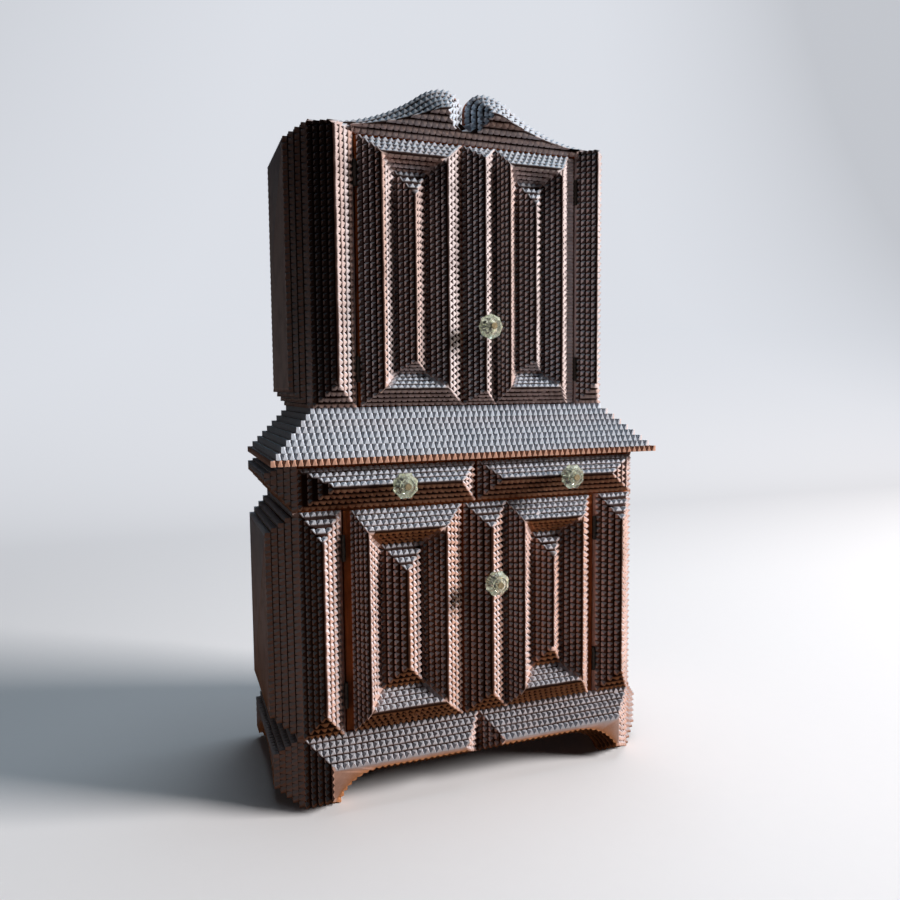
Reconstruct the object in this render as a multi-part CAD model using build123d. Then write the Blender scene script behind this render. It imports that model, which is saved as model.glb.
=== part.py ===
from build123d import *
from collections import namedtuple
from math import atan, cos, radians, sin
import os

# Small two-part table cabinet covered with stepped, edge-notched strips of thin wood.
# Millimetres, +Z up, the doors face -Y, and the origin is under the middle of the bounding box.
# "Forward" is the distance in front of the back plane, and "out" is the distance from the middle.

# Wood thicknesses
board = 7.0
layer = 5.0
upper_side_layer = 4.2
shelf_layer = 5.6
fill_board = 4.0
drawer_bottom_board = 3.0
rib_strip_thickness = 2.0
rib_strip_width = 7.0
rib_strip_near = 1.9

# Heights from the floor upwards
base_height = 67.0
door_zone_height = 213.0
drawer_zone_height = 44.0
shelf_layer_count = 9
upper_case_height = 261.6

# Widths and depths of the two cases
lower_half_width = 175.0
lower_face = 177.0
upper_half_width = 154.5
upper_face = 150.0
case_layer_count = 5
front_layer_count = 4

# Base outline: an apron between bracket feet
apron_height = 26.0
foot_width = 33.0
side_foot_width = 37.0
foot_arch_reach = 36.0
layer_foot_lift = 0.6
base_seam_gap = 1.0
base_top_run = 25.0
base_apron_step = 3.0
base_foot_run = 16.0
base_outer_run = 27.4
base_seam_run = 21.0
base_side_front_run = 24.0
base_side_back_run = 12.0
back_apron_height = 30.0
corner_block = 18.0

# Side panels of the cases: how far each edge steps in over the whole stack
lower_side_top_run = 30.0
lower_side_bottom_run = 8.75
lower_side_front_run = 50.0
drawer_side_bottom_run = 30.0
drawer_side_top_run = 12.5
drawer_side_front_run = 40.0
upper_side_bottom_run = 20.0
upper_side_top_run = 6.0
upper_side_front_run = 40.0
upper_side_back_run = 12.0

# Shelf between the cases
shelf_front_overhang = 16.0
shelf_side_step = 5.4
shelf_front_step = 4.9
shelf_strip_width = 24.0

# Door openings: the pilasters beside them and the meeting lines between the doors
lower_pilaster_width = 41.0
upper_left_pilaster_width = 44.1
upper_right_pilaster_width = 29.3
lower_meeting_x = -16.0
upper_meeting_x = -2.4
door_gap = 1.0
hinge_gap = 1.6
lower_pilaster_setback = 3.0
upper_pilaster_setback = 2.4
lower_pilaster_end_run = 28.0
upper_pilaster_bottom_run = 22.0
upper_pilaster_top_run = 2.0
ridge_middle = 0.5
lower_pilaster_ridge = 0.52

# Doors: plain margins at the hinges, widths of the stepped strips and where their ridges run
lower_left_margin = 7.4
lower_left_hinge_limb = 27.6
lower_left_hinge_ridge = 0.43
lower_left_free_limb = 39.0
lower_left_free_ridge = 0.57
lower_right_margin = 7.7
lower_right_hinge_limb = 33.3
lower_right_hinge_ridge = 0.48
lower_right_free_limb = 29.0
lower_right_free_ridge = 0.44
lower_astragal_width = 44.0
lower_astragal_margin = 2.6
lower_top_limb = 34.0
lower_top_ridge = 0.55
lower_bottom_limb = 37.0
lower_bottom_ridge = 0.57
lower_panel_top_run = 25.0
lower_panel_bottom_run = 26.0
lower_astragal_end_run = 24.0
lower_knob_rise = 136.0
upper_left_margin = 2.8
upper_left_hinge_limb = 34.6
upper_left_hinge_ridge = 0.54
upper_left_free_limb = 38.0
upper_left_free_ridge = 0.56
upper_right_margin = 9.9
upper_right_hinge_limb = 30.3
upper_right_hinge_ridge = 0.50
upper_right_free_limb = 23.5
upper_right_free_ridge = 0.40
upper_astragal_width = 34.0
upper_astragal_margin = 0.3
upper_top_limb = 30.0
upper_top_ridge = 0.62
upper_bottom_limb = 31.0
upper_bottom_ridge = 0.53
upper_panel_top_run = 27.0
upper_panel_bottom_run = 12.0
upper_astragal_end_run = 14.0
upper_knob_rise = 76.1

# Drawers
drawer_front_height = 38.2
drawer_lip = 1.5
drawer_front_gap = 0.5
drawer_divider = 5.0
drawer_meeting_gap = 4.0
drawer_clearance = 0.6
drawer_running_gap = 0.3
drawer_length = 140.0
drawer_box_height = 34.0
drawer_outer_run = 34.0
drawer_inner_run = 20.0
drawer_ridge = 0.565
drawer_rail_height = 3.4
left_drawer_knob_x = -82.0
right_drawer_knob_x = 91.0

# Crest over the upper doors
crest_drop = 6.0
crest_row_lift = 1.0
crest_peak = 44.0
crest_half_width = 154.0
crest_layer_step = 5.0
crest_lobe_x = 20.0
crest_lobe_radius = 18.0
crest_crown_radius = 45.0
crest_sweep_end = 150.0
crest_end_rise = 1.5
crest_cleft_height = 12.0

# Glass knobs and the bolts that hold them
knob_length = 22.0
knob_radius = 12.5
knob_collar_radius = 5.2
knob_neck_radius = 4.2
knob_face_radius = 6.5
knob_collar_length = 2.0
knob_neck_length = 6.0
knob_shoulder_length = 10.0
knob_rim_length = 4.0
bolt_radius = 1.5
bolt_clearance = 0.3
bolt_head_radius = 3.0
bolt_head_thickness = 1.5
nut_radius = 3.2
nut_thickness = 2.5
washer_radius = 4.5
washer_thickness = 0.8
bolt_end = 1.0
thread_gap = 0.05

# Hinges: narrow butts whose pins stand just proud of the boards
hinge_proud = 2.75
hinge_knuckle_radius = 2.0
hinge_pin_radius = 1.0
hinge_pin_clearance = 0.05
hinge_leaf = 0.7
hinge_height = 24.0
hinge_knuckle_gap = 0.2
hinge_end_distance = 35.0
hinge_leaf_setback = 0.5
hinge_leaf_rise = 0.4
pin_head_radius = 1.7
pin_head_thickness = 0.8

# Heights and depths that follow from the sizes above
lower_case_bottom = base_height
door_zone_top = lower_case_bottom + door_zone_height
shelf_bottom = door_zone_top + drawer_zone_height
shelf_top = shelf_bottom + shelf_layer_count * shelf_layer
upper_case_top = shelf_top + upper_case_height
crest_bottom = upper_case_top - crest_drop
lower_hinge_out = lower_half_width - lower_pilaster_width
upper_left_hinge_out = upper_half_width - upper_left_pilaster_width
upper_right_hinge_out = upper_half_width - upper_right_pilaster_width
lower_boards_front = lower_face - board
upper_boards_front = upper_face - board
front_stack = front_layer_count * layer
overall_depth = lower_face + front_stack + knob_length
back_y = overall_depth / 2
drawer_deck = door_zone_top + drawer_lip
drawer_bottom = drawer_deck + drawer_front_gap
drawer_top = drawer_bottom + drawer_front_height
crest_crown_z = upper_case_top + crest_peak - crest_crown_radius
crest_lean = 2 * atan((crest_peak - crest_end_rise) / (crest_sweep_end - crest_lobe_x))
crest_sweep_radius = (crest_sweep_end - crest_lobe_x) / sin(crest_lean) - crest_crown_radius
crest_sweep_z = crest_crown_z + (crest_crown_radius + crest_sweep_radius) * cos(crest_lean)
crest_lobe_z = upper_case_top + crest_peak - crest_lobe_radius
arch_radius = (foot_arch_reach ** 2 + apron_height ** 2) / (2 * apron_height)
bolt_hole_radius = bolt_radius + bolt_clearance

Door = namedtuple("Door", "name side hinge_out meeting_x face bottom top margin hinge_limb hinge_share "
                  "free_limb free_share astragal astragal_margin top_limb top_share bottom_limb "
                  "bottom_share panel_top_run panel_bottom_run end_run knob_rise")

lower_doors = {
    "face": lower_face, "bottom": lower_case_bottom + door_gap, "top": door_zone_top - door_gap,
    "hinge_out": lower_hinge_out, "meeting_x": lower_meeting_x,
    "top_limb": lower_top_limb, "top_share": lower_top_ridge,
    "bottom_limb": lower_bottom_limb, "bottom_share": lower_bottom_ridge,
    "panel_top_run": lower_panel_top_run, "panel_bottom_run": lower_panel_bottom_run,
    "end_run": lower_astragal_end_run, "knob_rise": lower_knob_rise,
}
upper_doors = {
    "face": upper_face, "bottom": shelf_top + door_gap, "top": crest_bottom - door_gap,
    "meeting_x": upper_meeting_x,
    "top_limb": upper_top_limb, "top_share": upper_top_ridge,
    "bottom_limb": upper_bottom_limb, "bottom_share": upper_bottom_ridge,
    "panel_top_run": upper_panel_top_run, "panel_bottom_run": upper_panel_bottom_run,
    "end_run": upper_astragal_end_run, "knob_rise": upper_knob_rise,
}
doors = [
    Door(name="lower_left_door", side=-1, margin=lower_left_margin,
         hinge_limb=lower_left_hinge_limb, hinge_share=lower_left_hinge_ridge,
         free_limb=lower_left_free_limb, free_share=lower_left_free_ridge,
         astragal=0.0, astragal_margin=0.0, **lower_doors),
    Door(name="lower_right_door", side=1, margin=lower_right_margin,
         hinge_limb=lower_right_hinge_limb, hinge_share=lower_right_hinge_ridge,
         free_limb=lower_right_free_limb, free_share=lower_right_free_ridge,
         astragal=lower_astragal_width, astragal_margin=lower_astragal_margin, **lower_doors),
    Door(name="upper_left_door", side=-1, margin=upper_left_margin,
         hinge_limb=upper_left_hinge_limb, hinge_share=upper_left_hinge_ridge,
         free_limb=upper_left_free_limb, free_share=upper_left_free_ridge,
         astragal=0.0, astragal_margin=0.0, hinge_out=upper_left_hinge_out, **upper_doors),
    Door(name="upper_right_door", side=1, margin=upper_right_margin,
         hinge_limb=upper_right_hinge_limb, hinge_share=upper_right_hinge_ridge,
         free_limb=upper_right_free_limb, free_share=upper_right_free_ridge,
         astragal=upper_astragal_width, astragal_margin=upper_astragal_margin,
         hinge_out=upper_right_hinge_out, **upper_doors),
]


def block(x, forward, z):
    """Box between two x values, two distances forward of the back plane and two heights."""
    low = Vector(min(x), back_y - max(forward), min(z))
    high = Vector(max(x), back_y - min(forward), max(z))
    size = high - low
    return Pos(*((low + high) / 2)) * Box(size.X, size.Y, size.Z)


def mix(outline, ridge, share):
    """Pair of values part of the way from an outline to its ridge."""
    return tuple(a + (b - a) * share for a, b in zip(outline, ridge))


def shrink(pair, low_run, high_run):
    """Pair of values brought in from both ends."""
    return (pair[0] + low_run, pair[1] - high_run)


def point_at(pair, share):
    """Pair that marks one place between two values."""
    place = pair[0] + (pair[1] - pair[0]) * share
    return (place, place)


def front_terrace(x, z, ridge_x, ridge_z, face, count=front_layer_count):
    """Strips glued on a front board, each smaller than the one behind it."""
    strips = []
    for index in range(count):
        share = index / count
        forward = (face + layer * index, face + layer * (index + 1))
        strips.append(block(mix(x, ridge_x, share), forward, mix(z, ridge_z, share)))
    return strips


def side_terrace(side, face, forward, z, ridge_forward, ridge_z, count, thickness):
    """Strips glued on a side board, each smaller than the one under it."""
    strips = []
    for index in range(count):
        share = index / count
        x = (side * (face + thickness * index), side * (face + thickness * (index + 1)))
        strips.append(block(x, mix(forward, ridge_forward, share), mix(z, ridge_z, share)))
    return strips


def ring_terrace(outer_x, outer_z, inner_x, inner_z, ridge_x, ridge_z, face):
    """Strips that frame a door panel, with outer and inner edges that close on a ridge."""
    rings = []
    for index in range(front_layer_count):
        share = index / front_layer_count
        forward = (face + layer * index, face + layer * (index + 1))
        whole = block(mix(outer_x, ridge_x, share), forward, mix(outer_z, ridge_z, share))
        hole = block(mix(inner_x, ridge_x, share), forward, mix(inner_z, ridge_z, share))
        rings.append(whole - hole)
    return rings


def rod(radius, x, z, forward):
    """Cylinder that runs front to back."""
    middle = (forward[0] + forward[1]) / 2
    length = abs(forward[1] - forward[0])
    return Pos(x, back_y - middle, z) * Rot(90, 0, 0) * Cylinder(radius, length)


def post(radius, x, forward, z):
    """Upright cylinder."""
    return Pos(x, back_y - forward, (z[0] + z[1]) / 2) * Cylinder(radius, z[1] - z[0])


def save(name, solids):
    """Writes one node, with each of its pieces as a solid of its own."""
    pieces = []
    for item in solids:
        pieces.extend(item.solids())
    export_step(Compound(children=pieces), f"parts/{name}.step")


def arch_void(low, high, inset, through):
    """Space under an apron, drawn across the board and extended through it."""
    centre_height = apron_height - arch_radius
    radius = arch_radius + inset
    left = low + foot_arch_reach
    right = high - foot_arch_reach
    reach = base_height
    span = Pos((left + right) / 2, apron_height + inset - reach / 2) * Rectangle(right - left, reach)
    shape = span
    for centre in (left, right):
        quadrant = Pos(centre, centre_height) * Circle(radius)
        shape = shape + quadrant
    return extrude(shape, amount=through)


def front_arch(inset):
    """Arch between the front feet, cut from behind the front board to past every strip."""
    low = -lower_half_width + foot_width
    deep = overall_depth
    void = arch_void(low, -low, inset, deep)
    return Pos(0, back_y, 0) * Rot(90, 0, 0) * void


def side_arch(inset):
    """Arch between the feet of one side, cut through both sides of the base."""
    low = -lower_face + side_foot_width
    high = -side_foot_width
    wide = overall_depth
    void = arch_void(low, high, inset, 2 * wide)
    return Pos(-wide, back_y, 0) * Rot(0, 0, 90) * Rot(90, 0, 0) * void


def make_base_boards():
    """Plinth boards with bracket feet, and the blocks that brace their corners."""
    height = (0.0, base_height)
    inner = lower_half_width - board
    front = block((-lower_half_width, lower_half_width), (lower_boards_front, lower_face), height)
    save("base_front_board", [front - front_arch(0.0)])
    for name, side in (("base_left_board", -1), ("base_right_board", 1)):
        plain = block((side * inner, side * lower_half_width), (0.0, lower_boards_front), height)
        save(name, [plain - side_arch(0.0)])
    pieces = [block((-inner, inner), (0.0, board), (back_apron_height, base_height))]
    for side in (-1, 1):
        for start in (board, lower_boards_front - corner_block):
            x = (side * (inner - corner_block), side * inner)
            lifted = (apron_height, base_height)
            pieces.append(block(x, (start, start + corner_block), lifted))
    save("base_back_board", pieces)


def make_base_strips():
    """Notched strips stacked on the apron and feet, stepping back from every edge."""
    z = (layer_foot_lift, base_height)
    ridge_z = shrink(z, base_foot_run, base_top_run)
    front = []
    for side in (-1, 1):
        seam = side * base_seam_gap / 2
        x = (side * lower_half_width, seam)
        ridge_x = (x[0] - side * base_outer_run, x[1] + side * base_seam_run)
        strips = front_terrace(x, z, ridge_x, ridge_z, lower_face, case_layer_count)
        for index, strip in enumerate(strips):
            front.append(strip - front_arch(base_apron_step * index))
    save("base_front_layers", front)
    forward = (0.0, lower_face)
    ridge_forward = shrink(forward, base_side_back_run, base_side_front_run)
    for name, side in (("base_left_layers", -1), ("base_right_layers", 1)):
        strips = side_terrace(side, lower_half_width, forward, z, ridge_forward, ridge_z,
                              case_layer_count, layer)
        cut = []
        for index, strip in enumerate(strips):
            cut.append(strip - side_arch(base_apron_step * index))
        save(name, cut)


def make_lower_case():
    """Boards of the lower case, with the deck and divider that carry the drawers."""
    inner = lower_half_width - board
    height = (lower_case_bottom, shelf_bottom)
    for name, side in (("lower_left_side", -1), ("lower_right_side", 1)):
        save(name, [block((side * inner, side * lower_half_width), (0.0, lower_boards_front), height)])
    depth = (board, lower_boards_front)
    across = (-inner, inner)
    save("lower_bottom_board", [block(across, depth, (lower_case_bottom, lower_case_bottom + board))])
    save("lower_back_board", [block(across, (0.0, board), height)])
    deck = block(across, depth, (drawer_deck - board, drawer_deck))
    full = (-lower_half_width, lower_half_width)
    lip = block(full, (lower_boards_front, lower_face), (door_zone_top, drawer_deck))
    save("drawer_deck", [deck + lip])
    divider = block((-drawer_divider / 2, drawer_divider / 2), depth, (drawer_deck, shelf_bottom))
    rail_height = (shelf_bottom - drawer_rail_height, shelf_bottom)
    rail = block(full, (lower_boards_front, lower_face), rail_height)
    save("drawer_divider_and_rail", [divider, rail])


def make_lower_trim():
    """Pilasters beside the lower doors and the stepped panels on the sides."""
    z = (lower_case_bottom, door_zone_top)
    for name, side in (("lower_left_pilaster", -1), ("lower_right_pilaster", 1)):
        stile_x = (side * (lower_hinge_out + hinge_gap / 2), side * lower_half_width)
        pieces = [block(stile_x, (lower_boards_front, lower_face), z)]
        x = (side * (lower_hinge_out + lower_pilaster_setback), side * lower_half_width)
        ridge_z = shrink(z, lower_pilaster_end_run, lower_pilaster_end_run)
        pieces.extend(front_terrace(x, z, point_at(x, lower_pilaster_ridge), ridge_z, lower_face))
        save(name, pieces)
    forward = (0.0, lower_face)
    drawer_z = (door_zone_top, shelf_bottom)
    for name, side in (("lower_left_side_layers", -1), ("lower_right_side_layers", 1)):
        pieces = side_terrace(side, lower_half_width, forward, z,
                              shrink(forward, 0.0, lower_side_front_run),
                              shrink(z, lower_side_bottom_run, lower_side_top_run),
                              case_layer_count, layer)
        pieces.extend(side_terrace(side, lower_half_width, forward, drawer_z,
                                   shrink(forward, 0.0, drawer_side_front_run),
                                   shrink(drawer_z, drawer_side_bottom_run, drawer_side_top_run),
                                   case_layer_count, layer))
        save(name, pieces)


def shelf_outline(index):
    """Half width and front distance of one shelf layer, counted from the bottom."""
    half_width = lower_half_width + case_layer_count * layer - shelf_side_step * index
    front = lower_face + shelf_front_overhang - shelf_front_step * index
    return half_width, front


def flat_piece(corners, z):
    """Flat piece with corners given as x and distance forward."""
    outline = Polyline(*[(x, back_y - forward) for x, forward in corners], close=True)
    return Pos(0, 0, z[0]) * extrude(make_face(outline), amount=z[1] - z[0])


def make_shelf():
    """Shelf made of a bottom board, mitred frames of strips and a top board."""
    last = shelf_layer_count - 1
    boards = []
    for index in (0, last):
        half_width, front = shelf_outline(index)
        z = (shelf_bottom + shelf_layer * index, shelf_bottom + shelf_layer * (index + 1))
        boards.append(block((-half_width, half_width), (0.0, front), z))
    save("shelf_boards", boards)
    strips = []
    for index in range(1, last):
        half_width, front = shelf_outline(index)
        z = (shelf_bottom + shelf_layer * index, shelf_bottom + shelf_layer * (index + 1))
        inner = half_width - shelf_strip_width
        inner_front = front - shelf_strip_width
        strips.append(flat_piece([(-half_width, front), (half_width, front),
                                  (inner, inner_front), (-inner, inner_front)], z))
        strips.append(flat_piece([(-inner, 0.0), (inner, 0.0),
                                  (inner, shelf_strip_width), (-inner, shelf_strip_width)], z))
        for side in (-1, 1):
            strips.append(flat_piece([(side * half_width, 0.0), (side * half_width, front),
                                      (side * inner, inner_front), (side * inner, 0.0)], z))
    save("shelf_edge_layers", strips)


def make_upper_case():
    """Boards of the upper case."""
    inner = upper_half_width - board
    height = (shelf_top, upper_case_top)
    for name, side in (("upper_left_side", -1), ("upper_right_side", 1)):
        save(name, [block((side * inner, side * upper_half_width), (0.0, upper_boards_front), height)])
    depth = (board, upper_boards_front)
    across = (-inner, inner)
    save("upper_bottom_board", [block(across, depth, (shelf_top, shelf_top + board))])
    save("upper_top_board", [block(across, depth, (upper_case_top - board, upper_case_top))])
    save("upper_back_board", [block(across, (0.0, board), height)])


def upper_hinge_out(side):
    """Distance out of an upper hinge plane: the doors sit a little off the middle."""
    return upper_left_hinge_out if side < 0 else upper_right_hinge_out


def make_upper_trim():
    """Pilasters beside the upper doors and the stepped panels on the sides."""
    z = (shelf_top, upper_case_top)
    for name, side in (("upper_left_pilaster", -1), ("upper_right_pilaster", 1)):
        hinge_out = upper_hinge_out(side)
        stile_x = (side * (hinge_out + hinge_gap / 2), side * upper_half_width)
        pieces = [block(stile_x, (upper_boards_front, upper_face), z)]
        x = (side * (hinge_out + upper_pilaster_setback), side * upper_half_width)
        ridge_z = shrink(z, upper_pilaster_bottom_run, upper_pilaster_top_run)
        pieces.extend(front_terrace(x, z, point_at(x, ridge_middle), ridge_z, upper_face))
        save(name, pieces)
    forward = (0.0, upper_face)
    for name, side in (("upper_left_side_layers", -1), ("upper_right_side_layers", 1)):
        save(name, side_terrace(side, upper_half_width, forward, z,
                                shrink(forward, upper_side_back_run, upper_side_front_run),
                                shrink(z, upper_side_bottom_run, upper_side_top_run),
                                front_layer_count, upper_side_layer))


def crest_side(side, inset, foot, shoulder_x):
    """Outline of one half of a crest layer, and its two points on the foot line."""
    top = upper_case_top + crest_peak - inset
    crown = crest_crown_radius - inset
    sweep = crest_sweep_radius + inset
    crown_end = (crest_lobe_x + crown * sin(crest_lean), crest_crown_z + crown * cos(crest_lean))
    crown_middle = (crest_lobe_x + crown * sin(crest_lean / 2),
                    crest_crown_z + crown * cos(crest_lean / 2))
    lowest = upper_case_top if foot < upper_case_top else foot
    end_x = crest_half_width - inset
    drop = crest_sweep_z - lowest
    if drop < sweep:
        end_x = min(end_x, crest_sweep_end - (sweep ** 2 - drop ** 2) ** 0.5)
    end_z = crest_sweep_z - (sweep ** 2 - (crest_sweep_end - end_x) ** 2) ** 0.5
    middle_x = (crown_end[0] + end_x) / 2
    middle_z = crest_sweep_z - (sweep ** 2 - (crest_sweep_end - middle_x) ** 2) ** 0.5
    tail = [(end_x, end_z), (end_x, lowest)]
    if foot < upper_case_top:
        tail.extend([(shoulder_x, lowest), (shoulder_x, foot)])
    lobe = crest_lobe_radius - inset
    near = crest_lobe_x - max(lobe, 0.0)
    web_top = upper_case_top + crest_cleft_height - inset
    start_z = max(web_top, foot)
    curves = [
        ThreePointArc((crest_lobe_x, top), crown_middle, crown_end),
        ThreePointArc(crown_end, (middle_x, middle_z), (end_x, end_z)),
    ]
    lobe_start = (crest_lobe_x, top)
    if lobe > 0:
        lobe_start = (near, crest_lobe_z)
        cheek = lobe * cos(radians(45))
        cheek_point = (crest_lobe_x - cheek, crest_lobe_z + cheek)
        curves.append(ThreePointArc(lobe_start, cheek_point, (crest_lobe_x, top)))
    curves.append(Line((near, start_z), lobe_start))
    for first, second in zip(tail, tail[1:]):
        if first != second:
            curves.append(Line(first, second))
    if side < 0:
        curves = [mirror(curve, about=Plane.YZ) for curve in curves]
    return curves, (side * near, start_z), (side * tail[-1][0], foot)


def crest_layer(inset, foot, forward, edges):
    """Crest outline stepped in by an inset above a foot line, whole or as two halves."""
    faces = []
    sides = [crest_side(side, inset, foot, abs(edge)) for side, edge in zip((-1, 1), edges)]
    if sides[0][1][1] > foot:
        outline = sides[0][0] + sides[1][0]
        outline.append(Line(sides[0][1], sides[1][1]))
        outline.append(Line(sides[0][2], sides[1][2]))
        faces.append(make_face(outline))
    else:
        for curves, start, end in sides:
            faces.append(make_face(curves + [Line(start, end)]))
    amount = forward[1] - forward[0]
    place = Pos(0, back_y - forward[0], 0) * Rot(90, 0, 0)
    return [place * extrude(face, amount=amount) for face in faces]


def make_crest():
    """Crest board behind the cornice line and the five stepped layers on its face."""
    stile_edges = (-(upper_left_hinge_out + hinge_gap / 2), upper_right_hinge_out + hinge_gap / 2)
    layer_edges = (-(upper_left_hinge_out + upper_pilaster_setback),
                   upper_right_hinge_out + upper_pilaster_setback)
    save("crest_board", crest_layer(0.0, crest_bottom, (upper_boards_front, upper_face), stile_edges))
    strips = []
    for index in range(case_layer_count):
        foot = crest_bottom + crest_row_lift + layer * index
        forward = (upper_face + layer * index, upper_face + layer * (index + 1))
        strips.extend(crest_layer(crest_layer_step * index, foot, forward, layer_edges))
    save("crest_layers", strips)


def door_x(door, distance):
    """Place across a door, measured from its hinge plane."""
    return door.side * (door.hinge_out - distance)


def door_span(door, near, far):
    """Pair of x values across a door, in rising order."""
    return tuple(sorted((door_x(door, near), door_x(door, far))))


def door_width(door):
    """Distance from the hinge plane to the free edge."""
    return door.hinge_out - door.side * door.meeting_x - door_gap / 2


def knob_place(door):
    """Centre of the knob, on the ridge of the astragal."""
    distance = door_width(door) - door.astragal_margin - door.astragal * ridge_middle
    return door_x(door, distance), door.bottom + door.knob_rise


def make_door(door):
    """Board, stepped frame and centre panel of one door, with its astragal and knob if it has them."""
    z = (door.bottom, door.top)
    width = door_width(door)
    board_front = (door.face - board, door.face)
    face_board = block(door_span(door, hinge_gap / 2, width), board_front, z)
    frame_end = width - door.astragal - door.astragal_margin
    outer = (door.margin, frame_end)
    inner = shrink(outer, door.hinge_limb, door.free_limb)
    ridge = (outer[0] + door.hinge_limb * door.hinge_share, outer[1] - door.free_limb * door.free_share)
    well_z = shrink(z, door.bottom_limb, door.top_limb)
    ridge_z = shrink(z, door.bottom_limb * door.bottom_share, door.top_limb * door.top_share)
    carving = ring_terrace(door_span(door, *outer), z, door_span(door, *inner), well_z,
                           door_span(door, *ridge), ridge_z, door.face)
    panel_x = door_span(door, *inner)
    panel_ridge_z = shrink(well_z, door.panel_bottom_run, door.panel_top_run)
    carving.extend(front_terrace(panel_x, well_z, point_at(panel_x, ridge_middle), panel_ridge_z,
                                 door.face))
    if door.name == "upper_right_door":
        strip_x = door_span(door, rib_strip_near, rib_strip_near + rib_strip_width)
        carving.append(block(strip_x, (door.face, door.face + rib_strip_thickness), z))
    save(f"{door.name}_carving", carving)
    if door.astragal:
        x, knob_z = knob_place(door)
        through = rod(bolt_hole_radius, x, knob_z, (door.face - board, door.face + front_stack))
        face_board = face_board - through
        astragal_x = door_span(door, frame_end, frame_end + door.astragal)
        strips = front_terrace(astragal_x, z, point_at(astragal_x, ridge_middle),
                               shrink(z, door.end_run, door.end_run), door.face)
        save(f"{door.name}_astragal", [strip - through for strip in strips])
        make_knob(door.name, x, knob_z, door.face)
    save(f"{door.name}_board", [face_board])


def make_knob(owner, x, z, face):
    """Pressed glass knob and the bolt, washer and nut that clamp it through the front."""
    seat = face + front_stack
    profile = [
        (0.0, 0.0),
        (knob_collar_radius, 0.0),
        (knob_collar_radius, knob_collar_length),
        (knob_neck_radius, knob_neck_length),
        (knob_radius, knob_shoulder_length),
        (knob_radius, knob_shoulder_length + knob_rim_length),
        (knob_face_radius, knob_length - bolt_head_thickness),
        (0.0, knob_length - bolt_head_thickness),
    ]
    outline = Plane.XZ * make_face(Polyline(*profile, close=True))
    glass = Pos(x, back_y - seat, z) * Rot(90, 0, 0) * revolve(outline, axis=Axis.Z)
    head_seat = seat + knob_length - bolt_head_thickness
    save(f"{owner}_knob", [glass - rod(bolt_hole_radius, x, z, (seat, head_seat))])
    back = face - board
    nut_back = back - washer_thickness - nut_thickness
    shank = rod(bolt_radius, x, z, (nut_back - bolt_end, head_seat))
    head = rod(bolt_head_radius, x, z, (head_seat, seat + knob_length))
    washer = rod(washer_radius, x, z, (back - washer_thickness, back))
    washer = washer - rod(bolt_hole_radius, x, z, (back - washer_thickness, back))
    nut_face = extrude(RegularPolygon(nut_radius, 6), amount=nut_thickness)
    nut = Pos(x, back_y - nut_back, z) * Rot(90, 0, 0) * nut_face
    nut = nut - rod(bolt_radius + thread_gap, x, z, (nut_back, back - washer_thickness))
    save(f"{owner}_knob_bolt", [shank + head, washer, nut])


def hinge_levels(door):
    """Heights of the middles of the two hinges of a door."""
    return (door.bottom + hinge_end_distance, door.top - hinge_end_distance)


def hinge_half(door, own, hole):
    """One leaf of each hinge of a door with its knuckles: own is 1 for the door and -1 for the case."""
    axis_x = door_x(door, 0.0)
    axis_forward = door.face + hinge_proud
    leaf_x = door_span(door, own * (hinge_gap / 2 - hinge_leaf), own * hinge_gap / 2)
    leaf_forward = (door.face - board + hinge_leaf_setback, door.face + hinge_leaf_rise)
    knuckle = hinge_height / 3
    halves = []
    for middle in hinge_levels(door):
        low = middle - hinge_height / 2
        leaf = block(leaf_x, leaf_forward, (low, low + hinge_height))
        if own > 0:
            spans = [(low + knuckle + hinge_knuckle_gap, low + 2 * knuckle - hinge_knuckle_gap)]
        else:
            spans = [(low, low + knuckle), (low + 2 * knuckle, low + hinge_height)]
        for span in spans:
            leaf = leaf + block(leaf_x, (leaf_forward[1], axis_forward), span)
            leaf = leaf + post(hinge_knuckle_radius, axis_x, axis_forward, span)
        halves.append(leaf - post(hole, axis_x, axis_forward, (low, low + hinge_height)))
    return halves


def make_hinges():
    """Leaves on the doors, leaves on the cases and the pins that join them."""
    hole = hinge_pin_radius + hinge_pin_clearance
    case_leaves = []
    pins = []
    for door in doors:
        save(f"{door.name}_hinges", hinge_half(door, 1, hole))
        case_leaves.extend(hinge_half(door, -1, hole))
        axis_x = door_x(door, 0.0)
        axis_forward = door.face + hinge_proud
        for middle in hinge_levels(door):
            low = middle - hinge_height / 2
            high = middle + hinge_height / 2
            pin = post(hinge_pin_radius, axis_x, axis_forward, (low, high))
            head = post(pin_head_radius, axis_x, axis_forward, (high, high + pin_head_thickness))
            pins.append(pin + head)
    save("case_hinge_leaves", case_leaves)
    save("hinge_pins", pins)


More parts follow.
